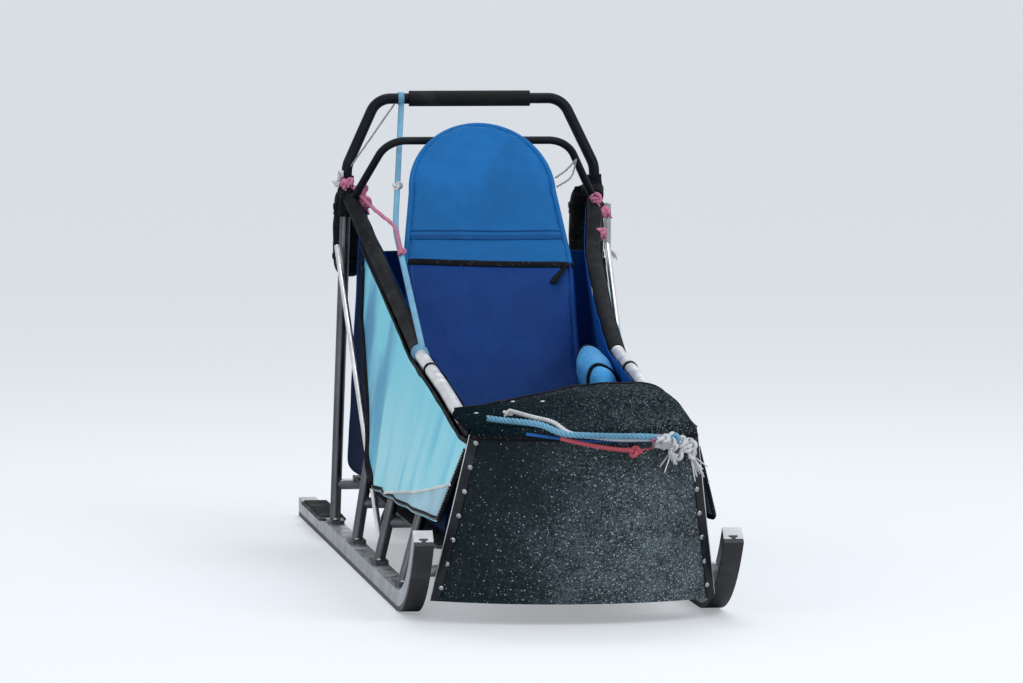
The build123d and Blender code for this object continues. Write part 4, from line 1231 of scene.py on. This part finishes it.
class SLED_OT_backrest(bpy.types.Operator):
    """Sews the backrest with its hem, webbing band and edge binding"""

    bl_idname = "sled.backrest"
    bl_label = "Backrest"

    def execute(self, context):
        sizes = context.scene.sled_sizes
        inset = 0.002
        steps = spread(0.004, BACKREST_SPRING, 60)
        for angle in spread(0, pi / 2, 24)[1:]:
            steps.append(BACKREST_SPRING + (BACKREST_ARCH_RISE - inset) * sin(angle))
        rows = []
        for t in steps:
            half = max(backrest_half_width(t) - inset, 0.002)
            front, rear = [], []
            for across in spread(-half, half, 32):
                edge = 1 - (abs(across) / half) ** 8
                thick = 0.0018 + 0.0024 * max(edge, 0) ** 0.5
                front.append(backrest_spot(across, t, thick))
                rear.append(backrest_spot(across, t, -thick))
            rows.append(front + list(reversed(rear)))
        shape = Shape()
        shape.solid(rows)
        mesh = puff(shape.mesh("backrest_shape", False), "backrest_swell", 0.0053, 3.0, 0.003)
        for vertex in mesh.vertices:
            spot = vertex.co
            wave = 0.0022 * ripple(spot, 0.10, 4.0) + 0.0012 * ripple(spot, 0.04, 9.0)
            hollow = blend_share(0.15, 0.40, spot.z) * (1 - blend_share(0.55, 0.80, spot.z))
            sag = -0.004 * (1 - (spot.y / BACKREST_HALF_WIDTH) ** 2) * hollow
            vertex.co = spot + BACKREST_AHEAD * (wave + sag)
        pad = finish_piece(mesh, "backrest_pad", finish("backrest_cloth"))
        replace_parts(pad, "backrest")

        rim = 0.005
        outline = [backrest_spot(rim - backrest_half_width(t), t) for t in spread(0.01, BACKREST_SPRING, 40)[:-1]]
        right = [Vector((point.x, -point.y, point.z)) for point in reversed(outline)]
        for angle in spread(0, pi, 32):
            t = BACKREST_SPRING + (BACKREST_ARCH_RISE - rim) * sin(angle)
            outline.append(backrest_spot(-(BACKREST_SPRING_HALF_WIDTH - rim) * cos(angle), t))
        outline += right
        edge = Shape()
        edge.tube(even_path(outline, 0.008), 0.0058, 10)
        edge.build("backrest_binding", "backrest_cloth", "backrest_cloth")

        skin = skin_of(mesh)

        def on_pad(line, lift):
            return laid_on(skin, line, lift, lambda point: -BACKREST_AHEAD)

        band = Shape()
        line = on_pad(backrest_line(0.174, BACKREST_TAPER, 0.012, 40, 0.0060), 0.0012)
        band.tube(line, 0.0016, 8, height=sizes.webbing_width / 2, up=BACKREST_UP)
        tail = ((0.160, 0.010, 0.0085), (0.150, 0.024, 0.0100), (0.138, 0.040, 0.0125), (0.128, 0.056, 0.0120))
        line = smooth_path([backrest_spot(y, BACKREST_TAPER - drop, out) for y, drop, out in tail], 0.004)
        band.tube(line, 0.0014, 8, height=0.0085, up=Vector((0, 1, 0.6)))
        band.build("backrest_band", "black_webbing", "band_cloth")

        hem, hem_t = Shape(), up_backrest(0.636)
        for t, half_height in ((hem_t + 0.003, 0.0065), (hem_t + 0.018, 0.0022)):
            line = backrest_line(backrest_half_width(t) - 0.008, t, 0.003, 50, 0.0060)
            hem.tube(on_pad(line, 0.0006), 0.0012, 8, height=half_height, up=BACKREST_UP)
        hem.build("backrest_hem", "hem_cloth", "backrest_cloth")
        spots = []
        for t in (hem_t - 0.002, hem_t + 0.008):
            seam = on_pad(backrest_line(backrest_half_width(t) - 0.012, t, 0.003, 60, 0.0070), 0.0018)
            spots += seam_spots(seam, sizes.stitch_pitch, BACKREST_AHEAD)
        inner = []
        for point in outline[20:-20]:
            middle = backrest_spot(0.0, max((point - BACKREST_FOOT).dot(BACKREST_UP), 0.0) * 0.97)
            inner.append(point + (middle - point).normalized() * 0.012 + BACKREST_AHEAD * 0.0050)
        spots += seam_spots(on_pad(inner, 0.0003), sizes.stitch_pitch, BACKREST_AHEAD)
        set_row("backrest_stitches", "stitches", spots, sizes.stitch_pitch, 0.0006, 0.0005,
                "blue_thread")
        return {"FINISHED"}


def hood_height(back, across):
    """Height of the hood over the nose at a distance back and across, to the sled's left."""
    crown = bpy.context.scene.sled_sizes.hood_crown
    rim = 0.3653 + 0.014 * min(back / 0.36, 1)
    share = (across + HOOD_HALF_WIDTH) / (2 * HOOD_HALF_WIDTH)
    if share < 0.78:
        hump = sin(pi / 2 * share / 0.78) ** 1.9
    else:
        hump = sqrt(max(1 - ((share - 0.78) / 0.22) ** 2.4, 0))
    length = blend_share(-0.02, 0.22, back) * (1 - 0.12 * blend_share(0.26, 0.37, back))
    low = 1 - (abs(across) / (HOOD_HALF_WIDTH + 0.0005)) ** 18
    lumps = 0.0030 * ripple((back, across, 0), 0.07, 6.0) + 0.0014 * ripple((back, across, 0), 0.028, 2.0)
    return rim + (crown * hump * length + 0.006 + lumps * 1.3) * max(low, 0) ** 0.5


def hood_spot(back, across, lift=0.0):
    """A point on the hood, lifted by some metres."""
    return Vector((NOSE_X - back, across, hood_height(back, across) + lift))


class SLED_OT_hood(bpy.types.Operator):
    """Stretches the black hood over the nose, with its hem and rear edge"""

    bl_idname = "sled.hood"
    bl_label = "Nose hood"

    def execute(self, context):
        front_lines, last_line, line_gap = 4, 46, 0.0086
        lines = spread(-HOOD_HALF_WIDTH, HOOD_HALF_WIDTH, 64)
        limit = HOOD_HALF_WIDTH - 0.0001
        rows, places = [], []
        for number in range(last_line + 1):
            row = []
            for across in lines:
                side = max(min(across, limit), -limit)
                front = NOSE_X - shield_spot(side, NOSE_EDGE_Z, 0.003).x
                if number < front_lines:
                    drop = 0.014 * (front_lines - number) / front_lines
                    row.append(shield_spot(side, NOSE_EDGE_Z - drop, 0.0035))
                else:
                    share = (number - front_lines) / (last_line - front_lines)
                    row.append(hood_spot(front + (HOOD_REAR_BACK - front) * share, across))
            rows.append(row)
            places.append([(across, number * line_gap) for across in lines])
        shape = Shape()
        shape.grid(rows, places)
        for sign in (1, -1):
            sides, places = [], []
            for number in range(front_lines, last_line + 1):
                top = rows[number][-1 if sign > 0 else 0]
                drop = 0.012 * blend_share(4, 9, number)
                sides.append([top + Vector((0, sign * 0.003 * (n / 2) ** 0.5, -drop * n / 2)) for n in range(3)])
                places.append([(HOOD_HALF_WIDTH + 0.006 * n, number * line_gap) for n in range(3)])
            shape.grid(sides, places)
        hood = shape.build("hood_sheet", "hood_cloth", "hood_cloth")
        thicken(hood, 0.0028)
        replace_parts(hood, "nose_hood")

        edge = Shape()
        rear = [hood_spot(0.361, across, 0.001) for across in spread(-0.204, 0.204, 60)]
        edge.tube(rear, 0.0034, 8, height=0.0060, up=AHEAD)
        front = [shield_spot(across, 0.3525, 0.0050) for across in spread(-0.2045, 0.2045, 60)]
        edge.tube(front, 0.0024, 8, height=0.0045, up=UP)
        edge.build("hood_binding", "black_webbing", "band_cloth")
        return {"FINISHED"}


class SLED_OT_rolled_cover(bpy.types.Operator):
    """Makes the rolled light blue cover on the bag's left wall and its two straps"""

    bl_idname = "sled.rolled_cover"
    bl_label = "Rolled cover"

    def execute(self, context):
        low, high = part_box("cover_flap")
        stations = 40
        strap_backs = (0.925, 1.105)
        outline = ((0.860, 0.332, 0.422), (0.960, 0.326, 0.440), (1.060, 0.328, 0.456), (1.160, 0.345, 0.466))

        def cover_y(back, z):
            """The roll's middle off the bag's wall."""
            return side_y(back, z, COVER_OFFSET) - COVER_REACH

        def ring(back, middle, half_height, half_depth):
            """A line round the roll."""
            heights = [middle + half_height * s for _, s in around(28)]
            return [Vector((NOSE_X - back, cover_y(back, z) + half_depth * c, z))
                    for z, (c, _) in zip(heights, around(28))]

        frames = []
        for number, back in enumerate(spread(NOSE_X - high.x + 0.006, NOSE_X - low.x - 0.006, stations)):
            bottom, top = at_back(outline, back)
            taper = max(1 - abs(2 * number / stations - 1) ** 5, 0.03) ** 0.5
            frames.append((back, (top + bottom) / 2, (top - bottom) / 2 * taper * 0.94, 0.033 * taper))
        shape = Shape()
        shape.solid([ring(*entry) for entry in frames])
        mesh = puff(shape.mesh("cover_shape", False), "cover_swell", 0.005, 4.0, 0.008)
        for vertex in mesh.vertices:
            spot = vertex.co
            pinch = sum(exp(-(((NOSE_X - spot.x - back) / 0.018) ** 2)) for back in strap_backs)
            crease = 0.0030 * ripple((spot.x, spot.y, spot.z * 2.2), 0.045, 1.0) - 0.0040 * pinch
            vertex.co = spot + vertex.normal * crease
        roll = finish_piece(mesh, "rolled_cover", finish("flap_cloth"))
        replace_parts(roll, "cover_flap")

        straps, skin = Shape(), skin_of(mesh)
        for strap in strap_backs:
            back, middle, half_height, half_depth = min(frames, key=lambda entry: abs(entry[0] - strap))
            centre = Vector((NOSE_X - back, cover_y(back, middle), middle))
            line = ring(back, middle, half_height + 0.002, half_depth + 0.0015)
            line = laid_on(skin, line, 0.0026, lambda point: centre - point)
            straps.tube(line, 0.0028, 6, closed=True, height=0.010, up=AHEAD)
        straps.build("cover_straps", "black_webbing", "band_cloth")
        return {"FINISHED"}


def squared(value):
    """A sine or cosine that makes a rounded square of a circle."""
    return abs(value) ** 0.45 * (1 if value >= 0 else -1)


class SLED_OT_pouches(bpy.types.Operator):
    """Fills the black pouches at the rear joints"""

    bl_idname = "sled.pouches"
    bl_label = "Rear pouches"

    def execute(self, context):
        for side, sign in SIDES:
            low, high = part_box("pouch_" + side)
            middle = (low + high) / 2
            half = (high - low) / 2 - Vector((0.006, 0.006, 0.004))

            def ring(half_x, half_y, z, count):
                """A level line round the pouch."""
                return [Vector((middle.x + half_x * squared(c), middle.y + half_y * squared(s), z))
                        for c, s in around(count)]

            rows = []
            for share in spread(-1, 1, 24):
                taper = max(1 - abs(share) ** 9, 0.05) ** 0.5
                belly = 1 - 0.10 * blend_share(0.2, 1.0, share)
                rows.append(ring(half.x * taper * belly, half.y * taper * belly, middle.z + half.z * share, 32))
            shape = Shape()
            shape.solid(rows)
            mesh = puff(shape.mesh("pouch_shape", False), "pouch_swell", 0.004, 3.0, 0.005)
            for vertex in mesh.vertices:
                spot = vertex.co
                lid = 0.0018 if spot.z > middle.z + 0.035 else 0.0
                crease = 0.0022 * ripple(spot, 0.035, 7.0 + sign)
                vertex.co = spot + vertex.normal * (crease + lid)
            pouch = finish_piece(mesh, "pouch_bag_" + side, finish("pouch_cloth"))
            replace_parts(pouch, "pouch_" + side)

            straps, skin = Shape(), skin_of(mesh)
            for shift in (-0.020, 0.020):
                line = [Vector((high.x - 0.0015, middle.y + shift, z))
                        for z in spread(high.z - 0.006, high.z - 0.111, 14)]
                line = laid_on(skin, line, 0.0012, lambda point: -AHEAD)
                straps.tube(line, 0.0013, 6, height=0.0075, up=ACROSS)
            for z in (middle.z + 0.052, middle.z - 0.050):
                line = ring(half.x + 0.003, half.y + 0.003, z, 40)
                line = laid_on(skin, line, 0.0012, lambda point: Vector((middle.x, middle.y, point.z)) - point)
                straps.tube(line, 0.0013, 6, closed=True, height=0.0065, up=UP)
            straps.build("pouch_straps_" + side, "black_webbing", "pouch_cloth")
        return {"FINISHED"}


def knot(shape, place, size, radius, seed):
    """A small overhand knot: a trefoil of rope, turned by its seed."""
    line = []
    turn = Matrix.Rotation(seed * 1.7, 3, "Z") @ Matrix.Rotation(seed * 0.9, 3, "X")
    for step in range(48):
        angle = 2 * pi * step / 48
        spot = Vector((sin(angle) + 2 * sin(2 * angle), cos(angle) - 2 * cos(2 * angle), -sin(3 * angle))) / 3
        line.append(place + turn @ (spot * size))
    shape.tube(line, radius, 7, closed=True)


def tassel(shape, place, direction, length, radius, seed, count, spreading):
    """Loose strand ends that leave a knot and spread."""
    for number in range(count):
        places = ((number, 0.3, 0.6), (0.2, number, 0.9), (0.5, 0.1, number))
        aside = Vector([ripple(spot, 1.3, seed + 2 * index) for index, spot in enumerate(places)])
        reach = length * (0.85 + 0.25 * aside.x)
        points = [
            place,
            place + direction * reach * 0.4 + aside * reach * spreading * 0.5,
            place + direction * reach + aside * reach * spreading * 1.4 - UP * (reach * 0.12),
        ]
        shape.tube(smooth_path(points, length / 8), radius, 5)


def tuft(shape, place, direction, seed, size):
    """A tight knot of cord with its frayed ends."""
    knot(shape, place, size, size * 0.36, seed)
    knot(shape, place + direction * size * 0.5, size * 0.8, size * 0.30, seed + 1.3)
    tassel(shape, place, direction, size * 1.5, size * 0.16, seed, 8, 0.8)


def over_nose(places, out):
    """Points through places, each across and up from the nose's upper edge, or down it if negative."""
    points, edge_z, bend = [], NOSE_EDGE_Z - 0.0005, 0.010
    for point in smooth_path([(across, rise, 0) for across, rise in places], 0.012):
        if point.y <= 0:
            points.append(shield_spot(point.x, edge_z + point.y, out))
        else:
            share = min(point.y / bend, 1)
            back = NOSE_X - shield_spot(point.x, edge_z).x + point.y
            points.append(hood_spot(back, point.x, out * share**0.5) + AHEAD * (out * (1 - share)))
    points = even_path(points, 0.006)
    for _ in range(14):
        inner = [(a + b * 2 + c) / 4 for a, b, c in zip(points, points[1:], points[2:])]
        points = [points[0]] + inner + [points[-1]]
    return points


class SLED_OT_nose_ropes(bpy.types.Operator):
    """Lays the coloured bridle ropes across the nose"""

    bl_idname = "sled.nose_ropes"
    bl_label = "Nose ropes"

    def execute(self, context):
        radius = context.scene.sled_sizes.rope_radius
        blue, white, red, blue_shade_cord, pink = [Shape() for _ in range(5)]
        for shape, size, out, places in (
            (blue, radius, 0.0125,
             ((-0.176, 0.018), (-0.130, 0.009), (-0.060, -0.001), (0.020, -0.006), (0.100, -0.009),
              (0.160, -0.015))),
            (white, radius * 0.72, 0.0120,
             ((-0.128, 0.110), (-0.105, 0.060), (-0.080, 0.018), (-0.045, 0.000), (-0.005, -0.006),
              (0.050, -0.013), (0.100, -0.014), (0.140, -0.016))),
            (red, radius * 0.74, 0.0100,
             ((-0.050, -0.010), (-0.020, -0.018), (0.020, -0.027), (0.060, -0.033), (0.078, -0.035))),
            # A dark cord laid just under and behind the blue rope: painted shade of the blue rope's underside.
            (blue_shade_cord, radius * 0.55, 0.0060,
             ((-0.110, -0.003), (-0.050, -0.011), (0.000, -0.015), (0.090, -0.017), (0.140, -0.020))),
        ):
            shape.rope(even_path(over_nose(places, out), 0.0030), size, 4.2 * size, 7)

        end = shield_spot(0.080, 0.3290, 0.0110)
        tuft(red, end, Vector((0.15, 0.75, -0.25)), 1.0, 0.0105)
        line = smooth_path([end, shield_spot(0.110, 0.333, 0.010), shield_spot(0.140, 0.343, 0.011)], 0.003)
        red.rope(line, radius * 0.74 * 0.5, 0.010)
        knot(blue, shield_spot(0.156, 0.3490, 0.012), 0.011, 0.0040, 2.0)
        knot(white, hood_spot(0.150, -0.130, 0.006), 0.008, 0.0030, 0.6)
        for number, (across, height, out) in enumerate((
            (0.126, 0.350, 0.022), (0.146, 0.350, 0.013), (0.150, 0.334, 0.013), (0.166, 0.344, 0.013),
            (0.172, 0.328, 0.013), (0.184, 0.338, 0.013), (0.190, 0.320, 0.013), (0.160, 0.320, 0.013),
            (0.134, 0.338, 0.022),
        )):
            knot(white, shield_spot(across, height, out), 0.0125, 0.0036, number * 0.83 + 0.4)
        tassel(white, shield_spot(0.186, 0.318, 0.012), Vector((0.1, 0.5, -0.8)), 0.042, 0.0012, 5.0, 14, 0.6)
        tassel(white, shield_spot(0.150, 0.330, 0.016), Vector((0.2, -0.2, -0.9)), 0.030, 0.0012, 7.0, 9, 0.8)
        for number, (across, height) in enumerate(((0.118, 0.350), (0.132, 0.344))):
            knot(pink, shield_spot(across, height, 0.0155), 0.0095, 0.0028, number + 0.9)
        for shape, name, colour in (
            (blue, "bridle_blue", "blue_rope"),
            (white, "bridle_white", "white_rope"),
            (red, "bridle_red", "red_rope"),
            (blue_shade_cord, "bridle_deep_blue", "deep_blue_rope"),
            (pink, "bridle_pink", "pink_rope"),
        ):
            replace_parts(shape.build(name, colour, "rope"), "bridle")
        return {"FINISHED"}


class SLED_OT_rigging(bpy.types.Operator):
    """Ties the cords at the rails, the rear joints and the handlebar"""

    bl_idname = "sled.rigging"
    bl_label = "Rail and handlebar cords"

    def execute(self, context):
        grip = Vector((-0.6710, -0.1420, 0.9120))
        pull = Vector((-0.4000, -0.1820, 0.6558))
        foot = Vector((0.2000, -0.1915, 0.4530))
        blue = Shape()
        strap = even_path(bent_path([grip + Vector((0.0090, 0, -0.0090)), pull, foot], 0.12), 0.010)
        blue.tube(strap, 0.0013, 8, height=0.0062, up=Vector((0, 1, 0.5)))
        ring = [grip + Vector((0.0124 * c, 0, 0.0124 * s)) for c, s in around(24)]
        blue.tube(ring, 0.0013, 6, closed=True, height=0.0065, up=ACROSS)
        blue.tube(rail_line(-1, 0.003, 1.028, 1.044), 0.0166, 20)
        blue.tube(rail_line(-1, 0.003, 1.050, 1.058), 0.0170, 20)
        blue.build("blue_cord", "blue_rope", "rope")

        pink = Shape()
        ahead = Vector((0.0050, 0, 0.0030))
        cord = [Vector((-0.6320, -0.2660, 0.7420)), Vector((-0.6040, -0.2380, 0.7200)),
                Vector((-0.5200, -0.2120, 0.6900)), pull + Vector((-0.0250, -0.0060, 0.0080)) + ahead]
        cord += [pull.lerp(foot, share) + ahead for share in (0.02, 0.12, 0.22)]
        pink.rope(smooth_path(cord, 0.005), 0.0044, 0.017)
        for place, direction, seed in (
            ((-0.6230, -0.2590, 0.7420), (0.6, -0.3, -0.5), 0.3),
            ((-0.6020, -0.2330, 0.7260), (0.5, 0.5, 0.4), 1.2),
            ((-0.5900, -0.2250, 0.7020), (0.4, 0.3, -0.8), 2.2),
            ((-0.5720, 0.2500, 0.7080), (0.6, 0.2, -0.4), 2.1),
            ((-0.5650, 0.2660, 0.6810), (0.6, 0.6, -0.3), 2.9),
            ((-0.4780, 0.2450, 0.6440), (0.5, 0.4, -0.7), 3.5),
        ):
            tuft(pink, Vector(place), Vector(direction), seed, 0.0125)
        knot(pink, cord[-1] + Vector((0, 0, 0.002)), 0.0080, 0.0030, 0.5)
        pink.build("pink_cord", "pink_rope", "rope")

        white = Shape()
        knot(white, Vector((-0.4880, -0.1690, 0.7390)), 0.0090, 0.0034, 0.8)
        knot(white, Vector((-0.6380, -0.2700, 0.7560)), 0.0100, 0.0034, 1.8)
        knot(white, Vector((-0.6340, -0.2780, 0.7400)), 0.0080, 0.0028, 2.8)
        white.build("white_knots", "white_rope", "rope")

        grey = Shape()
        for points in (
            ((-0.6460, -0.2690, 0.7500), (-0.6400, -0.2450, 0.7800), (-0.6440, -0.2050, 0.8350),
             (-0.6520, -0.1760, 0.8750), (-0.6640, -0.1560, 0.9010)),
            ((-0.5420, 0.2060, 0.7900), (-0.4980, 0.1800, 0.7700), (-0.4540, 0.1520, 0.7560)),
            ((-0.5420, 0.2060, 0.7900), (-0.4980, 0.1900, 0.7560), (-0.4430, 0.1540, 0.7380)),
        ):
            grey.rope(smooth_path(points, 0.005), 0.0024, 0.012)
        grey.build("grey_cord", "grey_cord", "rope")
        return {"FINISHED"}


class SLED_OT_fasteners(bpy.types.Operator):
    """Sets the shield's rivets and edge piping, the hood's snaps and the feet's bolts"""

    bl_idname = "sled.fasteners"
    bl_label = "Rivets and bolts"

    def execute(self, context):
        spots = []
        for sign in (1, -1):
            for height in (0.066, 0.112, 0.158, 0.204, 0.250, 0.296, 0.342):
                _, radius, angle = shield_arc(height)
                across = sign * (radius * sin(angle) - 0.013)
                spots.append((shield_spot(across, height, 0.0026), shield_facing(across, height), UP))
        set_row("shield_rivets", "rivets", spots, 0.046, 0.0055, 0.0028, "steel")

        for side, sign in SIDES:
            line = []
            for height in spread(0.048, 0.356, 40):
                _, radius, angle = shield_arc(height)
                line.append(shield_spot(sign * (radius * sin(angle) + 0.0008), height, 0.0006))
            edge = Shape()
            edge.tube(line, 0.0021, 8)
            edge.build("shield_edge_" + side, "white_piping", "panel_cloth")

        snaps = [(hood_spot(back, across, 0.0018), UP, AHEAD)
                 for across, back in ((-0.098, 0.335), (-0.055, 0.235), (-0.176, 0.250))]
        set_row("hood_snaps", "rivets", snaps, 0.06, 0.0050, 0.0022, "steel")

        bolts = []
        for _, sign in SIDES:
            for back in STANCHION_BACKS + (REAR_FOOT_BACK,):
                for shift in (-0.027, 0.027):
                    place = Vector((NOSE_X - back + shift, sign * RUNNER_Y, RUNNER_TOP + 0.010))
                    bolts.append((place, UP, AHEAD))
        set_row("foot_bolts", "bolts", bolts, 0.05, 0.0045, 0.0024, "steel")
        return {"FINISHED"}


class SLED_PT_panel(bpy.types.Panel):
    """The sled's sizes, colours and pieces"""

    bl_idname = "SLED_PT_panel"
    bl_label = "Dog sled"
    bl_space_type = "VIEW_3D"
    bl_region_type = "UI"
    bl_category = "Dog sled"

    def draw(self, context):
        for group in (context.scene.sled_sizes, context.scene.sled_colours):
            for name in group.bl_rna.properties.keys():
                if name not in ("rna_type", "name"):
                    self.layout.prop(group, name)
        for step in STEPS:
            self.layout.operator(step.bl_idname)


STEPS = (
    SLED_OT_stage,
    SLED_OT_frame_finishes,
    SLED_OT_liner,
    SLED_OT_side_panels,
    SLED_OT_rail_sleeves,
    SLED_OT_backrest,
    SLED_OT_hood,
    SLED_OT_rolled_cover,
    SLED_OT_pouches,
    SLED_OT_nose_ropes,
    SLED_OT_rigging,
    SLED_OT_fasteners,
)
CLASSES = (SledSizes, SledColours) + STEPS + (SLED_PT_panel,)


def register():
    for item in CLASSES:
        bpy.utils.register_class(item)
    bpy.types.Scene.sled_sizes = bpy.props.PointerProperty(type=SledSizes)
    bpy.types.Scene.sled_colours = bpy.props.PointerProperty(type=SledColours)


def unregister():
    del bpy.types.Scene.sled_sizes
    del bpy.types.Scene.sled_colours
    for item in reversed(CLASSES):
        bpy.utils.unregister_class(item)


def main():
    register()
    for step in STEPS:
        group, name = step.bl_idname.split(".")
        getattr(getattr(bpy.ops, group), name)()


if __name__ == "__main__":
    main()
